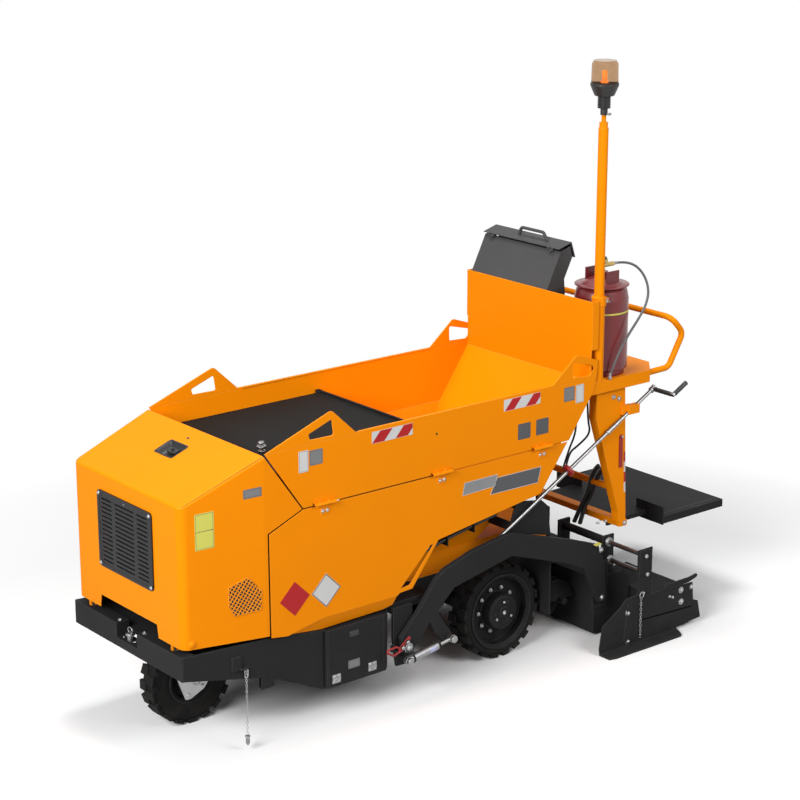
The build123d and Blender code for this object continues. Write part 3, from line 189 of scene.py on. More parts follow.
label_grey = finish("label_grey", (0.19, 0.19, 0.195), (0.35, 0.5), shade=0.86,
                    grain=260.0, bump=0.04, edge=(0.08, 0.08, 0.085), edge_r=0.002)
label_dark = finish("label_dark", (0.075, 0.078, 0.085), (0.35, 0.5), shade=0.88,
                    grain=260.0, bump=0.04, edge_r=0.0005)


def beacon_glass():
    """Clear amber plastic of the beacon's lens."""
    mat, nt, bsdf = new_tree("beacon_lens_glass")
    slow = noise(nt, object_coord(nt), 40.0, 2.0)
    put(nt, bsdf, {"Base Color": blend_colour(nt, slow, (0.42, 0.24, 0.12), (0.55, 0.36, 0.22)),
                   "Roughness": remap(nt, slow, 0.3, 0.7, 0.03, 0.09),
                   "Transmission Weight": 0.92, "IOR": 1.18})
    return mat


def glow():
    """The beacon's lamp, faintly lit."""
    mat, nt, bsdf = new_tree("beacon_lamp")
    slow = noise(nt, object_coord(nt), 60.0, 2.0)
    col = blend_colour(nt, slow, (1.0, 0.12, 0.01), (1.0, 0.34, 0.05))
    put(nt, bsdf, {"Base Color": col, "Emission Color": col, "Emission Strength": 1.3,
                   "Roughness": 0.4})
    return mat


lens_mat = beacon_glass()
glow_mat = glow()

looks = {
    orange: "hood_shell hopper_floor hopper_rear_wall hopper_side_left hopper_side_right "
            "lifting_eyes side_panel_left side_panel_right rear_deck rear_legs handrail "
            "mast_post mast_tube",
    orange_shaded: "conveyor",
    charcoal: "main_frame side_boxes platform screed_arms screed_frame extension_left "
              "extension_right rear_axle engine_block bumper engine_tray side_plates "
              "tow_plates hopper_brackets",
    grille_black: "grille",
    cover_mat: "engine_cover",
    console_mat: "console_body console_lid",
    bottle_red: "gas_bottle",
    brass: "gas_valve",
    gas_mat: "gas_hose",
    hose_mat: "hose_bundle",
    steel: "lift_rods spindles pointer_chain",
    zinc: "lift_barrels",
    fork_silver: "front_fork",
    iron: "front_rim rear_rim_left rear_rim_right auger",
    rubber: "front_tyre rear_tyre_left rear_tyre_right",
    plastic: "beacon_base",
    lens_mat: "beacon_lens",
}
for mat, names in looks.items():
    for name in names.split():
        obj = nodes[name]
        if not obj.material_slots:
            obj.data.materials.append(None)
        for place in obj.material_slots:
            place.link = "OBJECT"
            place.material = mat


# -------- kit for the small pieces
# Small pieces are written in millimetres and gathered into batches, one object each.
SIDES = ((1, "left"), (-1, "right"))
HALF = 450.0          # half the width over the panels
NOSE_X = 1244.0       # where the hood starts to narrow and to fall
NOSE_LONG = 406.0
NOSE_TAPER = 27.5     # what each side narrows by over NOSE_LONG
NOSE_DROP = 152.0
SHARP_ANGLE = 34.0    # degrees; edges folded by more stay sharp
UP = (0, 0, 1)


def angles(n):
    """n even steps of a turn, in radians."""
    return [2 * math.pi * k / n for k in range(n)]


def mirrored(*makers):
    """Make each group of pieces on the left and then on the right."""
    for make in makers:
        for s, tag in SIDES:
            make(s, tag)


def aim(spot, axis=UP, spin=0.0, x_axis=None):
    """Placement at spot whose Z runs along axis."""
    z = Vector(axis).normalized()
    if x_axis is None:
        turn = z.to_track_quat("Z", "Y").to_matrix()
    else:
        x = Vector(x_axis)
        x = (x - z * x.dot(z)).normalized()
        turn = Matrix((x, z.cross(x), z)).transposed()
    return (Matrix.Translation(Vector(spot)) @ turn.to_4x4()
            @ Matrix.Rotation(math.radians(spin), 4, "Z"))


def rounded(points, r, steps=4):
    """Points of an outline with its corners turned into arcs of about radius r."""
    pts = [Vector(p) for p in points]
    out = []
    for k, p in enumerate(pts):
        a, b = pts[k - 1] - p, pts[(k + 1) % len(pts)] - p
        half = 0.5 * a.angle(b)
        if half > math.radians(89.0):
            out.append(p)
            continue
        cut = min(r / math.tan(half), 0.48 * a.length, 0.48 * b.length)
        a, b = p + a.normalized() * cut, p + b.normalized() * cut
        for i in range(steps + 1):
            f = i / steps
            out.append((1 - f) ** 2 * a + 2 * f * (1 - f) * p + f * f * b)
    return out


def inset(points, by):
    """A flat outline drawn in (or out, where by is negative) by that much."""
    pts = [Vector(p) for p in points]
    area = sum(p.x * q.y - q.x * p.y for p, q in zip(pts, pts[1:] + pts[:1]))
    side = 1.0 if area > 0 else -1.0
    out = []
    for k, p in enumerate(pts):
        a = (p - pts[k - 1]).normalized()
        b = (pts[(k + 1) % len(pts)] - p).normalized()
        na, nb = Vector((-a.y, a.x)) * side, Vector((-b.y, b.x)) * side
        mid = na + nb
        mid = mid / max(0.3, mid.length_squared / 2.0)
        out.append(p + mid * by)
    return out


def clip(shape, window):
    """The part of a flat shape inside a convex window, both turning left."""
    def inside(p, a, b):
        return (b.x - a.x) * (p.y - a.y) - (b.y - a.y) * (p.x - a.x)

    out = [Vector(p) for p in shape]
    for k, a in enumerate(window):
        a, b = Vector(a), Vector(window[(k + 1) % len(window)])
        made = []
        for i, p in enumerate(out):
            q = out[(i + 1) % len(out)]
            dp, dq = inside(p, a, b), inside(q, a, b)
            if dp >= 0:
                made.append(p)
            if (dp >= 0) != (dq >= 0):
                made.append(p + (q - p) * (dp / (dp - dq)))
        out = made
        if len(out) < 3:
            return []
    return out


class Batch:
    """One visible piece of one material that rides on one body, gathered from small shapes."""

    def __init__(self, name, mat, body="chassis"):
        self.name, self.mat, self.body = name, mat, body
        self.bm = bmesh.new()

    def skin(self, rings, caps=True, loop=False):
        """Faces from ring to ring, with ends, or closed into a loop."""
        rows = [[self.bm.verts.new(p) for p in ring] for ring in rings]
        for a, b in zip(rows, rows[1:] + (rows[:1] if loop else [])):
            for i in range(len(a)):
                j = (i + 1) % len(a)
                self.bm.faces.new((a[i], a[j], b[j], b[i]))
        if caps and not loop:
            self.bm.faces.new(rows[0][::-1])
            self.bm.faces.new(rows[-1])

    def turn(self, steps, spot, axis, n, loop=False, spin=0.0):
        """Turned solid: (radius, height) steps along axis."""
        m = aim(spot, axis, spin)
        ring = [(math.cos(a), math.sin(a)) for a in angles(n)]
        self.skin([[m @ Vector((r * c, r * s, h)) for c, s in ring] for r, h in steps], loop=loop)

    def rod(self, a, b, r, n=16):
        """Round bar from a to b with small chamfers."""
        a, b = Vector(a), Vector(b)
        h = (b - a).length
        c = min(0.15 * r, 0.3 * h)
        self.turn([(r - c, 0), (r, c), (r, h - c), (r - c, h)], a, b - a, n)

    def bolt(self, spot, axis, r, h, washer=1.45, spin=0.0):
        """Hexagon head on its washer, standing on spot."""
        if washer:
            self.turn([(washer * r, 0), (washer * r, 0.16 * r), (washer * r * 0.94, 0.22 * r)],
                      spot, axis, 18)
        self.turn([(r, 0.2 * r), (r, h), (0.84 * r, h + 0.18 * r)], spot, axis, 6, spin=spin)
        self.turn([(0.55 * r, h), (0.55 * r, h + 0.3 * r), (0.45 * r, h + 0.36 * r)],
                  spot, axis, 10)

    def prism(self, outline, m, depth, chamfer=0.0):
        """Outline pushed out by depth from placement m, with a chamfer round its far face."""
        pts = [Vector((p[0], p[1])) for p in outline]
        rings = [(pts, 0.0), (pts, depth - chamfer)]
        if chamfer:
            rings.append((inset(pts, chamfer), depth))
        self.skin([[m @ Vector((p.x, p.y, h)) for p in ring] for ring, h in rings])

    def block(self, size, spot, turn=(0, 0, 0), chamfer=1.0):
        """Box with chamfered edges, size along X, Y and Z, turned by degrees about its middle."""
        x, y, z = (0.5 * v for v in size)
        c = min(chamfer, 0.45 * min(x, y, z))
        turned = Euler([math.radians(v) for v in turn]).to_matrix().to_4x4()
        m = Matrix.Translation(Vector(spot)) @ turned

        def eight(d):
            return [(x - d, y - c), (x - c, y - d), (c - x, y - d), (d - x, y - c),
                    (d - x, c - y), (c - x, d - y), (x - c, d - y), (x - d, c - y)]

        rings = [(eight(c), -z), (eight(0), c - z), (eight(0), z - c), (eight(c), z)]
        self.skin([[m @ Vector((*p, h)) for p in ring] for ring, h in rings])

    def tube(self, points, r, n=12, closed=False):
        """Round bar along points, which are already rounded."""
        pts = [Vector(p) for p in points]
        count = len(pts)
        rings = []
        side = None
        for k, p in enumerate(pts):
            if closed:
                t = (pts[(k + 1) % count] - pts[k - 1]).normalized()
            else:
                t = (pts[min(k + 1, count - 1)] - pts[max(k - 1, 0)]).normalized()
            if side is None:
                side = t.orthogonal().normalized()
            side = (side - t * side.dot(t)).normalized()
            up = t.cross(side)
            rings.append([p + r * (math.cos(a) * side + math.sin(a) * up) for a in angles(n)])
        self.skin(rings, loop=closed)

    def plate(self, outline, s, low, high, edge=0.0):
        """Thin plate on the machine's side, its outline in X and Z, from low to high above it."""
        pts = [Vector(p) for p in outline]
        rings = [(pts, low), (pts, high - edge)]
        if edge:
            rings.append((inset(pts, edge), high))
        self.skin([[on_side(p.x, p.y, s, h) for p in ring] for ring, h in rings])

    def done(self):
        """Turn the batch into an object in metres, on its body."""
        bmesh.ops.recalc_face_normals(self.bm, faces=self.bm.faces)
        for v in self.bm.verts:
            v.co *= 0.001
        mesh = bpy.data.meshes.new(self.name)
        self.bm.to_mesh(mesh)
        self.bm.free()
        mesh.shade_smooth()
        mesh.set_sharp_from_angle(angle=math.radians(SHARP_ANGLE))
        mesh.materials.append(self.mat)
        obj = bpy.data.objects.new(self.name, mesh)
        scene.collection.objects.link(obj)
        if self.body:
            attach(obj, self.body)
        return obj


def on_side(x, z, s, out=0.0):
    """A point on the side of the hood, hopper or panels, lifted out by that much."""
    taper = max(0.0, x - NOSE_X) * NOSE_TAPER / NOSE_LONG
    return Vector((x, s * (HALF - taper + out), z))


def box_outline(x0, x1, z0, z1):
    return [(x0, z0), (x1, z0), (x1, z1), (x0, z1)]


def facing(s, x, y, z):
    """Placement whose X runs along the machine and whose Z looks out of side s."""
    return aim((x, y, z), (0, s, 0), x_axis=(1, 0, 0))


def turned(name, mat, body, *solids, loop=False):
    """Piece made only of turned solids, each (steps, spot, axis, n)."""
    b = Batch(name, mat, body)
    for solid in solids:
        b.turn(*solid, loop=loop)
    b.done()


def bolted(name, body, *bolts):
    """Piece made only of bolts, each (spot, axis, r, h, washer, spin)."""
    b = Batch(name, zinc, body)
    for bolt in bolts:
        b.bolt(*bolt)
    b.done()


# -------- hanging hose and chains
def route_curve(name, points):
    """Smooth NURBS line whose control points are the route's, in metres."""
    curve = bpy.data.curves.new(name, "CURVE")
    curve.dimensions = "3D"
    line = curve.splines.new("NURBS")
    line.points.add(len(points) - 1)
    for spot, p in zip(line.points, points):
        spot.co = (*p, 1.0)
    line.order_u = 3
    line.use_endpoint_u = True
    curve.resolution_u = 16
    obj = bpy.data.objects.new(name, curve)
    scene.collection.objects.link(obj)
    return obj


def route_points(points):
    """Closely spaced points of that line, in metres."""
    obj = route_curve("route", points)
    mesh = bpy.data.meshes.new_from_object(obj)
    out = [v.co.copy() for v in mesh.vertices]
    bpy.data.objects.remove(obj)
    return out


def path_length(path):
    return sum((b - a).length for a, b in zip(path, path[1:]))


def hose_piece(name, points, r, mat, body):
    """Round hose of radius r along that line, in metres."""
    obj = route_curve(name, points)
    obj.data.bevel_depth = r
    obj.data.bevel_resolution = 6
    obj.data.use_fill_caps = True
    obj.data.materials.append(mat)
    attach(obj, body)
    return obj


def spots_along(path, pitch, start=0.0):
    """Evenly spaced (place, direction) pairs along a line of points."""
    out, done, want = [], 0.0, start
    for a, b in zip(path, path[1:]):
        step = (b - a).length
        while step > 0 and want <= done + step:
            out.append((a.lerp(b, (want - done) / step), (b - a).normalized()))
            want += pitch
        done += step
    return out


def chain(name, points, body, long, wide, wire, start, stop):
    """Round-link chain along a route, every other link turned a quarter.

    The links' long, wide and wire are in millimetres, and start and stop, the bare lengths at the
    route's ends, are in metres. Gives the piece, its route and the route's length.
    """
    path = route_points(points)
    total = path_length(path)
    b = Batch(name, steel, body)
    pitch = (long - 2 * wire) * 0.001
    for k, (p, d) in enumerate(spots_along(path, pitch, start)):
        if (total - stop) < (k * pitch + start):
            break
        m = aim(p * 1000.0, d, x_axis=(0.6, 0.8, 0.1) if k % 2 else (-0.8, 0.6, 0.1))
        r, h = 0.5 * (wide - wire), 0.5 * (long - wide)
        turn = [math.radians(a) for a in range(0, 181, 30)]
        loop = [(r * math.cos(a), h + r * math.sin(a)) for a in turn]
        loop += [(-r * math.cos(a), -h - r * math.sin(a)) for a in turn]
        b.tube([m @ Vector((x, 0, z)) for x, z in loop], wire / 2, 6, closed=True)
    return b.done(), path, total


gas_route = [(-0.922, 0.300, 1.812), (-0.986, 0.300, 1.812), (-1.052, 0.322, 1.790),
             (-1.088, 0.352, 1.736), (-1.078, 0.392, 1.668), (-1.024, 0.424, 1.608),
             (-0.952, 0.446, 1.556), (-0.878, 0.462, 1.502), (-0.822, 0.466, 1.438),
             (-0.790, 0.458, 1.368), (-0.778, 0.440, 1.300)]
gas_r = 0.006
gas = hose_piece("gas_supply_hose", gas_route, gas_r, gas_mat, "chassis")
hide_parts("gas_hose")
nuts = Batch("gas_hose_fittings", zinc, "chassis")
nuts.turn([(8.5, 0), (10, 1), (10, 14), (8.5, 15), (7.6, 16), (7.4, 34), (6.6, 36)],
          (-912, 300, 1812), (-1, 0, 0), 6)
nuts.turn([(10.5, 0), (10.5, 12), (8.2, 13), (7.6, 30), (6.8, 32)], (-779, 441, 1293.2),
          (-0.1, 0.1, 1), 6)
nut_obj = nuts.done()

chain_route = [(1.346, 0.441, 0.382), (1.346, 0.441, 0.270), (1.346, 0.441, 0.140),
               (1.346, 0.441, 0.024)]
links, chain_path, _ = chain("pointer_links", chain_route, "chassis", 17.0, 10.0, 2.4, 0.006, 0.004)
weight = Batch("pointer_weight", zinc, "chassis")
weight.turn([(1.5, 0.5), (9.5, 13), (10, 15), (10, 40), (8.8, 41.5)], (1346, 441, 24), (0, 0, 1), 6)
weight.turn([(7, 41), (11.5, 43), (11.5, 46), (6, 48.5), (3, 51)], (1346, 441, 24), (0, 0, 1), 20)
weight_obj = weight.done()
snap = Batch("pointer_snap_hook", zinc, "chassis")
snap.tube(rounded([(1337.5, 441, 380), (1354.5, 441, 380), (1353, 441, 340), (1339, 441, 340)],
                  7, 5), 2.2, 8, closed=True)
snap.rod((1338, 441, 372), (1339, 441, 348), 3.2, 10)
snap_obj = snap.done()
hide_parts("pointer_chain")


# -------- plates and labels, all blank
def sheet(name, mat, body, outline, s, low, high, edge=0.0):
    """One thin plate as a piece of its own."""
    b = Batch(name, mat, body)
    b.plate(outline, s, low, high, edge)
    b.done()


def frame_line(batch, outline, s, wide, high):
    """Thin printed line just inside an outline on the machine's side."""
    outer, inner = [Vector(p) for p in outline], inset(outline, wide)
    batch.skin([[on_side(p.x, p.y, s, h) for p in ring] for ring, h in (
        (outer, 0.2), (outer, high + 0.1), (inner, high + 0.1), (inner, 0.2))], loop=True)


def border(name, mat, body, outline, s, wide, high):
    """A printed line as a piece of its own."""
    b = Batch(name, mat, body)
    frame_line(b, outline, s, wide, high)
    b.done()


def square_label(name, mat, tag, s, x0, x1, z0, z1):
    """Blank label with a dark line round it."""
    sheet(name + tag, mat, "chassis", rounded(box_outline(x0, x1, z0, z1), 4), s, 0.1, 1.1, 0.3)
    border(name + "border_" + tag, label_dark, "chassis",
           box_outline(x0 + 3.5, x1 - 3.5, z0 + 3.5, z1 - 3.5), s, 1.3, 1.1)


def hazard(name, s, x0, x1, z0, z1, bands):
    """White plate with slanting red bands, each band given by its upper edge's ends."""
    lean = 49.0
    sheet(name + "_white", label_white, "chassis", rounded(box_outline(x0, x1, z0, z1), 2), s,
          0.1, 0.9, 0.2)
    red = Batch(name + "_red", sign_red, "chassis")
    window = box_outline(x0 + 1.5, x1 - 1.5, z0 + 1.5, z1 - 1.5)
    for a, b in bands:
        part = clip([(a + lean, z0), (b + lean, z0), (b, z1), (a, z1)], window)
        if len(part) > 2:
            red.plate(part, s, 0.3, 1.3, 0.1)
    red.done()


def side_labels(s, tag):
    """Hazard plates, labels, badges and diamonds on the hopper's sides and panels."""
    silver = ((132, 967), (-67, 968), (-51, 913), (145, 907))
    dark = ((-65, 952), (-338, 950), (-319, 874), (-23, 877))
    diamond = 80
    hazard("hazard_front_" + tag, s, 437, 666, 1257, 1311, ((550, 618), (418, 486)))
    hazard("hazard_rear_" + tag, s, -326, -101, 1260, 1315, ((-211, -154), (-344, -284)))
    for name, mat, *box in (("lift_label_front_", label_white, 1010, 1061, 1204, 1300),
                            ("steel_label_front_", label_grey, 934, 1003, 1225, 1293),
                            ("steel_label_rear_", label_grey, -543, -476, 1236, 1305),
                            ("lift_label_rear_", label_white, -603, -552, 1217, 1305),
                            ("dark_plate_a_", label_dark, -267, -190, 1106, 1182),
                            ("dark_plate_b_", label_dark, -380, -303, 1107, 1183)):
        square_label(name, mat, tag, s, *box)
    panel = "panel_" + tag
    for name, mat, shape in (("badge_silver_", zinc, silver), ("badge_dark_", label_dark, dark)):
        sheet(name + tag, mat, panel, rounded(shape, 3), s, 0.1, 1.6, 0.5)
    edge = Batch("badge_edge_" + tag, label_white, panel)
    for shape in (silver, dark):
        frame_line(edge, shape, s, 2.0, 1.7)
    edge.done()
    for name, mat, rim, cx, cz in (("diamond_red_", sign_red, None, 1091, 642),
                                   ("diamond_white_", label_white, label_dark, 922, 640)):
        out = [(cx + diamond, cz), (cx, cz + diamond - 1), (cx - diamond, cz),
               (cx, cz - diamond + 1)]
        sheet(name + tag, mat, panel, rounded(out, 2.5), s, 0.1, 0.9, 0.2)
        if rim:
            border(name + "edge_" + tag, rim, panel, inset(out, 1.0), s, 4.0, 0.9)


# -------- hood, grille, bumper
slope = Vector((NOSE_LONG, 0.0, -NOSE_DROP)).normalized()
slope_up = Vector((-slope.z, 0.0, slope.x))
latch_mid = Vector((NOSE_X, -27.0, 1317.0)) + 157.0 * slope


def on_slope(along, across, lift=0.0):
    """A point on the hood's sloping top, counted from the middle of its latch."""
    return latch_mid + along * slope + Vector((0.0, across, 0.0)) + lift * slope_up


def hood_latch():
    """Recessed hood latch: flanged tray with slanting walls, a paddle in it, and a key slot."""
    def rim(by, lift, r):
        x, y = 46 - by, 66 - by
        return [on_slope(p.x, p.y, lift)
                for p in rounded([(-x, -y), (x, -y), (x, y), (-x, y)], r, 5)]

    b = Batch("hood_latch", plastic, "hood")
    b.skin([rim(1.0, -6, 12), rim(-5, 0.2, 15), rim(-5, 1.4, 15), rim(-1, 2.2, 13), rim(2, 1.0, 11),
            rim(4, -4, 10), rim(22, -24, 8), rim(30, -26, 6)], caps=False)
    b.skin([rim(30, -26, 6), rim(31, -28, 6)])
    b.prism(rounded([(-15, -34), (12, -34), (18, -20), (18, 20), (12, 34), (-15, 34)], 4),
            aim(on_slope(-6, 0, -17), slope_up, x_axis=slope), 9, 1.5)
    b.turn([(7, -2), (7, 10), (5.5, 11.5)], on_slope(-6, 0, -10), slope_up, 18)
    b.done()
    k = Batch("hood_key_slot", plastic, "hood")
    k.prism(rounded(box_outline(-9, 9, -5, 5), 4),
            aim(latch_mid - 92 * slope + Vector((0, 2, 0)), slope_up, x_axis=(0, 1, 0)), 1.2, 0.5)
    k.done()


def grille_trim():
    """Screws of the grille, the radiator behind it and the mesh between them."""
    s = Batch("grille_screws", zinc, "hood")
    for y, z in ((-200, 755), (200, 755), (-200, 1075), (200, 1075)):
        s.turn([(9, 0), (9, 1.2), (7.5, 1.6)], (1658, y, z), (1, 0, 0), 20)
        s.turn([(6.5, 1), (6.5, 4), (5, 5.2), (2.8, 5.2), (2.6, 3.4)], (1658, y, z), (1, 0, 0), 18)
    s.turn([(5, 0), (5, 2.4), (4, 3.2)], (1653.2, 0, 1072), (1, 0, 0), 14)
    s.done()
    f = Batch("radiator_core", grille_black, "chassis")
    f.block((26, 400, 330), (1604, 0, 905), chamfer=2)
    for k in range(40):
        f.block((5, 2.2, 316), (1619, -190 + k * 9.75, 905), chamfer=0.4)
    for z in (742, 1068):
        f.block((34, 412, 20), (1604, 0, z), chamfer=3)
    f.done()
    m = Batch("grille_mesh", grille_black, "hood")
    for k in range(23):
        m.block((1.4, 2.4, 318), (1647.6, -198 + k * 18, 915), chamfer=0.3)
    m.done()


def side_vent(s, tag):
    """Slanted lattice over a black sheet that paints the shade inside the hood side's opening."""
    window = rounded([(1427, 683), (1427, 771), (1328, 798), (1262, 723), (1264, 634), (1399, 634)],
                     9, 3)
    # Black sheet in the vent's opening: painted shade of the space behind it.
    sheet("vent_shade_sheet_" + tag, grille_black, "hood", window, s, -0.2, 0.5)
    net = Batch("vent_lattice_" + tag, orange, "hood")
    mid, reach = Vector((1344, 716)), 160
    for turn, pitch, wide, high in ((38, 13.5, 4.6, 1.9), (-52, 17.0, 6.0, 1.6)):
        d = Vector((math.cos(math.radians(turn)), math.sin(math.radians(turn))))
        n = Vector((-d.y, d.x))
        for k in range(-12, 13):
            at = mid + n * (k * pitch)
            bar = [at + a * reach * d + b * wide / 2 * n
                   for a, b in ((-1, -1), (1, -1), (1, 1), (-1, 1))]
            part = clip(bar, window)
            if len(part) > 2:
                net.plate(part, s, 0.3, high, 0.5)
    outer, inner = inset(window, -2.0), inset(window, 3.0)
    net.skin([[on_side(p.x, p.y, s, h) for p in ring] for ring, h in (
        (outer, 0.0), (outer, 1.4), (inner, 2.0), (inner, 0.0))], loop=True)
    net.done()


def hood_side(s, tag):
    """Vent, plug and blank plates on the hood's side."""
    side_vent(s, tag)
    turned("hood_plug_" + tag, orange, "hood",
           ([(17, -1), (17, 2), (15.5, 4.2), (11, 6.4), (5, 7.6), (1, 8)],
            on_side(1607, 557, s), (0.068, s, 0), 28))
    for name, mat, x0, x1, z0, z1, halves in (
            ("fuel_plate_", label_grey, 1255, 1345, 1146, 1187, False),
            ("notice_plate_", label_yellow, 1488, 1580, 966, 1126, True)):
        mid = (z0 + z1) / 2
        p = Batch(name + tag, mat, "hood")
        if halves:
            for low, high in ((z0, mid - 1.2), (mid + 1.2, z1)):
                p.plate(rounded(box_outline(x0, x1, low, high), 3), s, 0.1, 0.9, 0.2)
        else:
            p.plate(rounded(box_outline(x0, x1, z0, z1), 3), s, 0.1, 1.0, 0.2)
        p.done()
        q = Batch(name + "border_" + tag, label_dark, "hood")
        frame_line(q, box_outline(x0 + 4, x1 - 4, z0 + 4, z1 - 4), s, 1.4, 0.9)
        if halves:
            q.plate(box_outline(x0 + 4, x1 - 4, mid - 0.9, mid + 0.9), s, 0.2, 1.1)
        q.done()


def hinge_cheeks():
    h = Batch("hood_hinge_cheeks", charcoal, "chassis")
    cheek = rounded([(-12, -8), (14, -8), (14, 14), (6, 22), (-6, 22), (-12, 14)], 3)
    for s, _ in SIDES:
        for dy in (-13, 13):
            h.prism(cheek, facing(-1, 1628, s * 330 + dy + 2, 509), 4, 0.8)
    h.done()


def panel_hinges(s, tag):
    """Rolled covers over the panels' hinges, and the bolts below them."""
    pin_y, pin_z = 459, 1043
    arc = [math.radians(a) for a in range(-4, 181, 16)]
    cover = Batch("hinge_covers_" + tag, orange, "chassis")
    bolts = Batch("hinge_bolts_" + tag, zinc, "panel_" + tag)
    outer, inner = ([(s * (pin_y + r * math.cos(a)), pin_z + r * math.sin(a)) for a in arc]
                    for r in (11.6, 10.0))
    roll = outer + [(s * 449.8, 1055.0)] + inner[::-1]
    for x in (930, 272, -338):
        cover.skin([[Vector((x + dx, y, z)) for y, z in roll] for dx in (-58, -57, 57, 58)])
        for dx in (-12, 12):
            bolts.bolt((x + dx - 4, s * 453, 1010), (0, s, 0), 6.2, 4.5, 1.4, spin=20 * dx)
    cover.done()
    bolts.done()


def bumper_small():
    """Pins and screws on the bumper's tow plate, and gussets under it."""
    bolted("bumper_pins", "chassis",
           *(((1634, y, 510), UP, 8, 6, 1.5, y) for y in (98, -99)),
           *(((1640, y, 441), UP, 5, 4, 1.4, y) for y in (-63, 63)))
    e = Batch("bumper_tow_pin", zinc, "chassis")
    e.turn([(12.5, -44), (14, -42), (14, 26), (21, 27), (21, 34), (17, 37), (8, 38)],
           (1638, -14, 441), UP, 24)
    e.tube([Vector((1638, 17 * math.cos(a) - 14, 490 + 13 * math.sin(a))) for a in angles(24)],
           2.6, 8, closed=True)
    e.done()
    w = Batch("bumper_weld_gussets", charcoal, "chassis")
    for s, _ in SIDES:
        w.prism([(0, 0), (34, 0), (0, 34)],
                aim((1656, s * 300 - 3, 410), (0, 1, 0), x_axis=(-1, 0, 0)), 6, 0.8)
    w.done()


hood_latch()
grille_trim()
mirrored(hood_side)
hinge_cheeks()
mirrored(side_labels, panel_hinges)
bumper_small()


# -------- side boxes, lift, wheels, screed
REAR_WHEEL = Vector((-187, 0, 232))
FRONT_WHEEL = Vector((1368, 0, 210))
LIFT_FRONT, LIFT_REAR = Vector((506, 0, 216)), Vector((249, 0, 258))    # the cylinders' pins
LIFT_Y = 505
GUIDE_RODS = ((-845, 445), (-855, 350))                                # X and Z
END_PLATE_Y = 651


def around(mid, r, n, start=0.0):
    """X and Z of n places on a circle about mid."""
    return [(mid.x + r * math.sin(a + start), mid.z + r * math.cos(a + start)) for a in angles(n)]


def side_box_fittings(s, tag):
    """Hinges, latch and blank label of the boxes under the panels."""
    b = Batch("box_hinges_" + tag, zinc, "chassis")
    leaf = rounded(box_outline(-23, 23, -8.5, 8.5), 3)
    for x, z in ((870, 209), (668, 214)):
        for z0, z1 in ((z - 21, z - 3), (z + 3, z + 21)):
            mid_z = (z0 + z1) / 2
            b.prism(leaf, facing(s, x, s * HALF, mid_z), 2.4, 0.6)
            for dx in (-13, 13):
                b.turn([(4.2, 2), (4.2, 3.4), (3.0, 4.6)], (x + dx, s * HALF, mid_z), (0, s, 0),
                       14)
        b.rod((x - 22, s * 453.4, z), (x + 22, s * 453.4, z), 3.6, 14)
    b.done()
    sheet("box_label_" + tag, label_grey, "chassis", rounded(box_outline(739, 804, 236, 275), 4),
          s, 0.1, 1.3, 0.4)
    border("box_label_edge_" + tag, label_dark, "chassis",
           box_outline(742.5, 800.5, 239.5, 271.5), s, 1.2, 1.35)
    t = Batch("box_latch_" + tag, plastic, "chassis")
    m = facing(s, 770, s * HALF, 400)
    t.prism(rounded(box_outline(-26, 26, -13, 13), 8), m, 1.8, 0.8)
    t.prism(rounded(box_outline(-20, 20, -8, 8), 6), m, 3.4, 1.2)
    t.done()


def lift_fittings(s, tag):
    """Pins, end caps and label of the lift cylinders, and the red lever that locks the arm."""
    along = (LIFT_REAR - LIFT_FRONT).normalized()
    up = Vector((0.16, 0, 0.987))

    def on_barrel(d):
        at = LIFT_FRONT + along * d
        return Vector((at.x, s * LIFT_Y, at.z))

    for end, body, p, r, tip in (("front_", "chassis", LIFT_FRONT, 15, 7),
                                 ("rear_", "screed", LIFT_REAR, 17, 8)):
        turned("lift_pins_" + end + tag, zinc, body,
               ([(r, 0), (r, 7), (r - 1.5, 9), (tip, 9.6)], (p.x, s * 520.5, p.z), (0, s, 0), 26))
    turned("lift_ends_" + tag, charcoal, "lift_barrel_pair",
           ([(20.5, 0), (21.5, 1), (21.5, 11), (17, 13), (10, 13.4)], on_barrel(172), along, 28),
           ([(21, 0), (22, 1), (22, 9), (20, 10)], on_barrel(22), along, 28),
           *(([(8, 16), (8, 27), (6, 28)], on_barrel(d), up, 14) for d in (34, 158)))
    label = Batch("lift_label_" + tag, label_lilac, "lift_barrel_pair")
    out = Vector((0, s, 0))
    label.skin([[on_barrel(d) + out * (r * math.cos(math.radians(a)))
                 + up * (r * math.sin(math.radians(a)))
                 for r, order in ((19.8, range(-32, 33, 8)), (18.8, range(32, -33, -8)))
                 for a in order] for d in (118, 120, 152, 154)])
    label.done()
    lock = Batch("arm_lock_lever_" + tag, lever_red, "chassis")
    y = s * 489
    lock.prism(rounded([(474, 312), (486, 325), (548, 277), (538, 262)], 5), facing(-1, 0, y, 0),
               5, 1)
    lock.tube(rounded([Vector((x, y, z)) for x, z in (
        (536, 276), (560, 290), (606, 287), (614, 273), (578, 252), (540, 262))], 10, 4),
        5.2, 10, closed=True)
    lock.block((20, 14, 16), (538, y, 270), chamfer=2)
    lock.done()
    turned("arm_lock_pins_" + tag, steel, "chassis",
           *(([(8.5, -8), (9.5, -7), (9.5, 9), (8, 11), (4, 11.6)], (x, s * 491, z), (0, s, 0), 22)
             for x, z in ((500, 300), (528, 279))))
    k = Batch("arm_lock_bracket_" + tag, charcoal, "chassis")
    k.block((16, 46, 12), (556, s * 466, 262), chamfer=1.5)
    k.block((24, 6, 34), (548, s * 445, 268), chamfer=1.5)
    k.done()


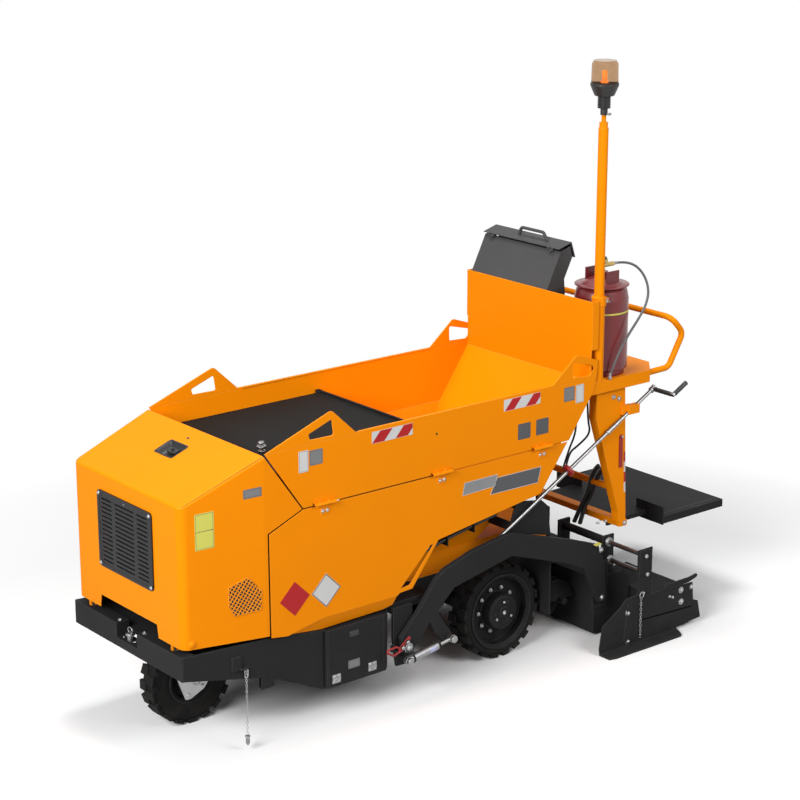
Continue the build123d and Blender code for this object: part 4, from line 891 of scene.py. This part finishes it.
def rear_wheel_fittings(s, tag):
    """Nuts, rim lips and sidewall rings of a rear wheel."""
    c = REAR_WHEEL
    body, out = "rear_wheel_" + tag, (0, s, 0)
    bolted("wheel_nuts_" + tag, body,
           *(((x, s * 315, z), out, 7.6, 7, 1.35, 37 * k)
             for k, (x, z) in enumerate(around(c, 108, 10, math.radians(18)))),
           *(((x, s * 376, z), out, 5.2, 4, 1.3, 50 * k)
             for k, (x, z) in enumerate(around(c, 52, 3))),
           ((c.x, s * 378, c.z), out, 7.5, 5, 1.4))
    turned("rim_edge_" + tag, iron, body,
           ([(179, 0), (183.5, 0.6), (185.6, 2.6), (185.6, 4.2), (182.5, 4.6), (178, 2.2)],
            (c.x, s * 356.5, c.z), out, 72),
           ([(92, 0), (96, 2), (96, 5), (88, 8), (84, 8), (84, 0)], (c.x, s * 306, c.z), out, 48),
           loop=True)
    turned("tyre_rings_" + tag, rubber, body,
           *(([(r - 1.6, -1), (r - 0.8, 1.3), (r + 0.8, 1.3), (r + 1.6, -1)],
              (c.x, s * y, c.z), out, 72) for r, y in ((190, 355.0), (206, 356.2))), loop=True)


def front_wheel_fittings(s, tag):
    """Hub and axle bolts of the front wheel, and its fork's silver cheek."""
    c = FRONT_WHEEL
    cheek = rounded([(1462, 240), (1440, 268), (1322, 268), (1294, 196), (1322, 160), (1392, 128),
                     (1420, 128)], 12)
    out = (0, s, 0)
    bolted("front_axle_bolts_" + tag, "fork", ((c.x, s * 85, c.z), out, 14, 12, 1.4, 12))
    k = Batch("fork_cheeks_" + tag, fork_silver, "fork")
    k.prism(cheek, facing(-1, 0, 73.5 if s > 0 else -69.2, 0), 4.3)
    for x, z in ((1405, 150), (1331, 176), (1440, 226)):
        k.bolt((x, s * 73.5, z), out, 7, 6, 1.4, spin=x)
    k.done()
    bolted("front_hub_bolts_" + tag, "front_wheel",
           *(((x, s * 9, z), out, 6.5, 6, 1.4, 31 * k)
             for k, (x, z) in enumerate(around(c, 44, 5))))


def end_plate_fittings(s, tag):
    """Bolts, ribs and chain on the plates that close the screed's extensions."""
    body, y, out = "screed_extension_" + tag, s * END_PLATE_Y, (0, s, 0)
    b = Batch("end_plate_bolts_" + tag, zinc, body)
    for x, z, r in ((-1104, 205, 11), (-1108, 143, 11), (-1176, 205, 8), (-739, 176, 10.5),
                    (-743, 28, 10.5)):
        b.bolt((x, y, z), out, r, 7, 1.5, spin=x)
    for x, z in ((-1027, 190), (-1047, 181)):
        b.bolt((x, y, z), out, 5.5, 5, 1.4, spin=x)
    for x, z in GUIDE_RODS:
        b.turn([(21, 0), (21, 3), (19.5, 4)], (x, y, z), out, 28)
        b.bolt((x, y + s * 3.5, z), out, 11, 9, 0, spin=x)
    b.done()
    # fold across the plate, then its front doubler, its rear wing's rib and the rods' plate
    p = Batch("end_plate_ribs_" + tag, charcoal, body)
    p.prism([(-3, 0), (0, 3.4), (3, 0)],
            aim((-840, y, 116), (-344, 0, -15), x_axis=(0, 0, -s)), 344)
    m = facing(s, 0, y, 0)
    for shape, r, thick, edge in (
            (((-712, 30), (-735, 228), (-762, 228), (-762, 30)), 4, 3, 0.8),
            (((-974, 236), (-1150, 236), (-1206, 250), (-1214, 262), (-1204, 270), (-1150, 262),
              (-985, 262)), 5, 6, 1.2),
            (((-806, 258), (-806, 476), (-889, 476), (-889, 258)), 10, 5, 1.2)):
        p.prism(rounded([(x, -s * z) for x, z in shape], r), m, thick, edge)
    p.done()
    route = [(-0.820, s * 0.6585, 0.238), (-0.820, s * 0.6590, 0.170),
             (-0.820, s * 0.6590, 0.100), (-0.820, s * 0.6585, 0.030)]
    links, path, total = chain("gate_chain_" + tag, route, body, 19.0, 11.0, 2.6, 0.006, 0.004)
    ring = Batch("gate_chain_ring_" + tag, zinc, body)
    ring.tube([Vector((-826 + 19 * math.cos(a), s * (657 + 5 * math.cos(a)),
                       250 + 15 * math.sin(a))) for a in angles(28)], 2.6, 8, closed=True)
    ring.bolt((-842, y, 255), out, 6, 5, 1.5)
    ring_obj = ring.done()


def screed_fittings(s, tag):
    """Bolts of the screed's arms and the glands that its guide rods run in."""
    out = (0, s, 0)
    bolted("arm_bolts_" + tag, "screed",
           *(((x, s * 480, z), out, 8.8, 4, 1.6, x) for x, z in ((-731, 205), (-717, 455))),
           ((482, s * 480, 262), out, 17, 10))
    turned("guide_glands_" + tag, zinc, "screed",
           *(([(20.5, 0), (22.5, 1), (22.5, 12), (21, 14), (12.5, 14.5), (12.5, 0)],
              (x, s * 394, z), out, 30) for x, z in GUIDE_RODS), loop=True)


mirrored(side_box_fittings, lift_fittings, rear_wheel_fittings, front_wheel_fittings,
         end_plate_fittings, screed_fittings)


# -------- legs, screed's top, platform
LEG_Y = 420
SPINDLE_TOP, SPINDLE_LOW = Vector((-1088.4, 0, 1195.1)), Vector((-98.5, 0, 650.0))
SPINDLE_Y = 436


def screed_top(s, tag):
    """Clamps and glands of the rods that the extensions slide on."""
    g = Batch("guide_screws_" + tag, zinc, "screed")
    for x in (-812, -760):
        g.bolt((x, s * 408, 561), (0, 0, 1), 7, 6, 1.4, spin=x)
    for x, z in GUIDE_RODS:
        g.turn([(22, 0), (24, 1), (24, 9), (21, 11), (19, 16), (12.6, 17), (12.6, 0)],
               (x, s * 396, z), (0, s, 0), 28, loop=True)
    g.done()
    rods = Batch("guide_rod_sleeves_" + tag, steel, "screed_extension_" + tag)
    for x, z in GUIDE_RODS:
        rods.rod((x, s * 400, z), (x, s * 640, z), 11.4, 24)
    rods.done()
    t = Batch("arm_tag_" + tag, label_yellow, "screed")
    t.block((34, 26, 2), (-672, s * 500, 500.5), (0, 8, 0), 0.6)
    t.done()


def leg_fittings(s, tag):
    """Platform latch, bolts and red and white strips on the rear legs."""
    strip_top, strip_long, strip_lean = 899, 52, 0.0422
    lev = Batch("leg_latch_" + tag, lever_red, "chassis")
    lev.prism(rounded([(-898, 826), (-878, 826), (-876, 985), (-884, 996), (-896, 988)], 5),
              facing(-1, 0, LEG_Y + 6.5 if s > 0 else -LEG_Y - 0.5, 0), 6)
    lev.rod((-886, s * LEG_Y, 985), (-886, s * 432, 985), 6.5, 16)
    lev.done()
    bolted("leg_bolts_" + tag, "chassis",
           *(((x, s * LEG_Y, z), (0, s, 0), 8, 6, 1.5, x)
             for x, z in ((-930, 531), (-868, 1176), (-832, 1190))),
           ((-886, s * 431, 985), (0, s, 0), 6, 5, 0))
    for name, mat, first in (("leg_strip_red_", sign_red, 0), ("leg_strip_white_", label_white, 1)):
        w = Batch(name + tag, mat, "chassis")
        for k in range(first, 4, 2):
            z = strip_top - strip_long * k
            x = -920.5 - strip_lean * (strip_top - z)
            w.plate([(x - 2.2, z - 51), (x + 8, z - 51), (x + 10, z), (x, z)], s, -29.8, -28.8)
        w.done()


def crank_fittings(s, tag):
    """Ribbed sleeves on the cranks' grips and red rings on the spindles."""
    along = (SPINDLE_LOW - SPINDLE_TOP).normalized()
    g = Batch("crank_grip_" + tag, plastic, "chassis")
    g.turn([(8, -1), (10.5, 0), (12.5, 3), (11.2, 8), (11.8, 45), (11.2, 82), (12.5, 87), (10, 90)],
           SPINDLE_TOP - 88 * along + Vector((0, s * 575, 0)), along, 24)
    m = aim(SPINDLE_TOP + 3 * along + Vector((0, s * SPINDLE_Y, 0)), along, x_axis=(0, 1, 0))
    near, far = -11 * s, 128 * s
    g.prism(rounded([(near, -10), (far, -10), (far, 10), (near, 10)], 8), m, 13, 1)
    g.done()
    turned("spindle_disc_" + tag, lever_red, "chassis",
           ([(25, -9), (30, -7), (31, 0), (30, 7), (25, 9)],
            SPINDLE_TOP + 640 * along + Vector((0, s * SPINDLE_Y, 0)), along, 32))


def platform_edge():
    """Rows of small holes along the step's folded rim."""
    turned("platform_edge_holes", label_dark, "step_platform",
           *(([(3.4, 0), (3.4, 0.5), (2.6, 0.7)], (-1262 - 20 * k, s * 352, 487), UP, 10)
             for s, _ in SIDES for k in range(20)))


def hoses_behind():
    """Two hoses that bend from the deck down to the screed, and two cables beside them."""
    lines = (("hose_heater_a", ((-0.850, 0.309, 0.812), (-0.862, 0.262, 0.775),
                                (-0.868, 0.224, 0.652), (-0.860, 0.180, 0.560),
                                (-0.850, 0.150, 0.480))),
             ("hose_heater_b", ((-0.850, 0.355, 0.818), (-0.872, 0.290, 0.770),
                                (-0.880, 0.240, 0.640), (-0.868, 0.205, 0.583),
                                (-0.850, 0.190, 0.480))),
             ("cable_sensor_a", ((-0.850, 0.218, 1.229), (-0.856, 0.218, 1.029),
                                 (-0.866, 0.235, 0.960), (-0.858, 0.160, 0.880),
                                 (-0.850, 0.094, 0.823), (-0.850, 0.080, 0.735))),
             ("cable_sensor_b", ((-0.850, 0.148, 1.229), (-0.852, 0.148, 0.981),
                                 (-0.862, 0.122, 0.910), (-0.854, 0.097, 0.847),
                                 (-0.850, 0.060, 0.735))))
    hose_r, cable_r = 0.011, 0.005
    for name, route in lines:
        pts = route_points(route)
        if "hose" in name:
            tube = Batch(name, hose_mat, None)
            tube.tube([p * 1000.0 for p in pts], hose_r * 1000.0, 14)
            obj = tube.done()
            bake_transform(obj)
        else:
            cable = hose_piece(name, route, cable_r, plastic, "chassis")


mirrored(screed_top, leg_fittings, crank_fittings)
platform_edge()
hoses_behind()


# -------- cover, mast, bottle
def cover_fittings():
    """Stacked knob latch on the engine cover."""
    turned("cover_knob", zinc, "engine_lid",
           ([(16, 0), (16, 4), (9, 6), (9, 14), (20, 16), (21, 19), (21, 25), (19, 27), (9, 28),
             (9, 33), (14, 35), (14.5, 41), (12, 44), (4, 45)],
            (1040, 151, 1226), (0.08, 0, 1), 26))


def mast_fittings():
    """Clamp with its screw on the mast's foot, and the beacon's neck, fixing and lamp."""
    x, y = -717, 418
    c = Batch("mast_clamp", orange, "chassis")
    for z in (1666, 1697):
        c.turn([(31, 0), (34, 1), (34, 12), (31, 13)], (x + 1, y, z - 6), UP, 28)
    c.block((46, 10, 26), (-738, 436, 1681), chamfer=2)
    c.done()
    w = Batch("mast_clamp_screw", zinc, "chassis")
    w.rod((-744, 420, 1681), (-744, 462, 1681), 4, 12)
    w.bolt((-744, 441, 1681), (0, 1, 0), 8, 7, 1.5)
    w.done()
    turned("beacon_neck_ribs", plastic, "mast",
           *(([(27, 0), (31, 1.6), (31, 3.4), (27, 5)], (x, y, 2588 + 7.4 * k), UP, 30)
             for k in range(7)))
    v = Batch("beacon_wing_screw", zinc, "mast")
    v.rod((x, y + 20, 2564), (x, y + 34, 2564), 4, 12)
    v.block((22, 3, 12), (x, y + 37, 2564), chamfer=1.2)
    v.done()
    turned("beacon_element", glow_mat, "mast",
           ([(9, 0), (10, 2), (10, 44), (8, 48), (3, 50)], (x, y, 2712), UP, 20),
           ([(14, 0), (15, 1.5), (15, 8), (12, 10)], (x, y, 2704), UP, 22))


def bottle_fittings():
    """Yellow band, weld seams and valve knob of the gas bottle."""
    x, y = -850, 300
    turned("bottle_band", label_yellow, "chassis",
           ([(130.2, 0), (130.9, 0.6), (130.9, 7.4), (130.2, 8)], (x, y, 1596), UP, 64))
    turned("bottle_seams", bottle_red, "chassis",
           *(([(128, -2), (131.2, 0), (131.2, 4), (128, 6)], (x, y, z), UP, 64)
             for z in (1332, 1722)))
    turned("valve_knob", plastic, "chassis",
           ([(20, 0), (22, 2), (22, 14), (18, 17), (6, 18)], (x, y, 1838), UP, 12))


cover_fittings()
mast_fittings()
bottle_fittings()


# -------- camera, floor, light
cam = bpy.data.objects.new("camera", bpy.data.cameras.new("camera"))
scene.collection.objects.link(cam)
cam.location = (6.1422, 7.4226, 4.0426)
cam.rotation_euler = Vector((-0.6033, -0.7467, -0.2800)).to_track_quat("-Z", "Y").to_euler()
cam.data.lens = 96.14
cam.data.sensor_width = 36.0
cam.data.clip_end = 200.0
scene.camera = cam
scene.view_settings.view_transform = "Standard"

WHITE = (1.0, 1.0, 1.0, 1.0)


def seen_directly(nt):
    """1 for what is seen straight, through glass or in a gloss, 0 for what only lights the rest."""
    path = nt.nodes.new("ShaderNodeLightPath")
    straight = maths(nt, "MAXIMUM", path.outputs["Is Camera Ray"],
                     path.outputs["Is Transmission Ray"])
    return maths(nt, "MAXIMUM", straight, path.outputs["Is Glossy Ray"])


def studio_world():
    """White where it is seen, and a weak cool light on everything else."""
    world = bpy.data.worlds.new("studio")
    world.use_nodes = True
    nt = world.node_tree
    nt.nodes.clear()
    room = node(nt, "Background", {"Color": (0.97, 0.985, 1.0, 1.0), "Strength": 0.22})
    white = node(nt, "Background", {"Color": WHITE, "Strength": 1.0})
    mix = node(nt, "MixShader", {0: seen_directly(nt), 1: room.outputs[0], 2: white.outputs[0]})
    node(nt, "OutputWorld", {0: mix.outputs[0]})
    return world


def floor_material():
    """White floor that gives back little light, fading into the white background."""
    fade_from, fade_to = 2.3, 3.4
    mat, nt, bsdf = new_tree("studio_floor")
    seen = seen_directly(nt)
    put(nt, bsdf, {"Base Color": blend_colour(nt, seen, (0.30, 0.30, 0.30), (0.98, 0.98, 0.98)),
                   "Roughness": 0.9, "Specular IOR Level": 0.0})
    white = node(nt, "Emission", {"Color": WHITE})
    far = node(nt, "VectorMath", {0: object_coord(nt)}, operation="LENGTH").outputs["Value"]
    fade = maths(nt, "MULTIPLY", remap(nt, far, fade_from, fade_to), seen)
    mix = node(nt, "MixShader", {0: fade, 1: bsdf.outputs[0], 2: white.outputs[0]})
    out = next(n for n in nt.nodes if n.type == "OUTPUT_MATERIAL")
    nt.links.new(mix.outputs[0], out.inputs[0])
    return mat


def studio_floor():
    bm = bmesh.new()
    bmesh.ops.create_grid(bm, x_segments=4, y_segments=4, size=30.0)
    mesh = bpy.data.meshes.new("floor")
    bm.to_mesh(mesh)
    bm.free()
    mesh.materials.append(floor_material())
    floor = bpy.data.objects.new("floor", mesh)
    floor.location = (0.0, 0.0, -0.0015)
    scene.collection.objects.link(floor)


def lamp(name, place, target, size, power):
    """Soft rectangular lamp turned towards target."""
    data = bpy.data.lights.new(name, "AREA")
    data.shape = "RECTANGLE"
    data.size, data.size_y = size
    data.energy = power
    obj = bpy.data.objects.new(name, data)
    obj.location = place
    look = Vector(target) - Vector(place)
    obj.rotation_euler = look.to_track_quat("-Z", "Y").to_euler()
    scene.collection.objects.link(obj)


scene.world = studio_world()
studio_floor()
lamp("key_top", (0.2, -0.8, 7.0), (0.0, 0.0, 0.4), (2.0, 2.0), 210.0)
lamp("front_fill", (7.5, 2.5, 4.6), (0.3, 0.0, 0.9), (4.0, 3.0), 700.0)
lamp("side_fill", (-1.5, 7.0, 5.4), (-0.2, 0.0, 0.8), (4.0, 3.0), 330.0)
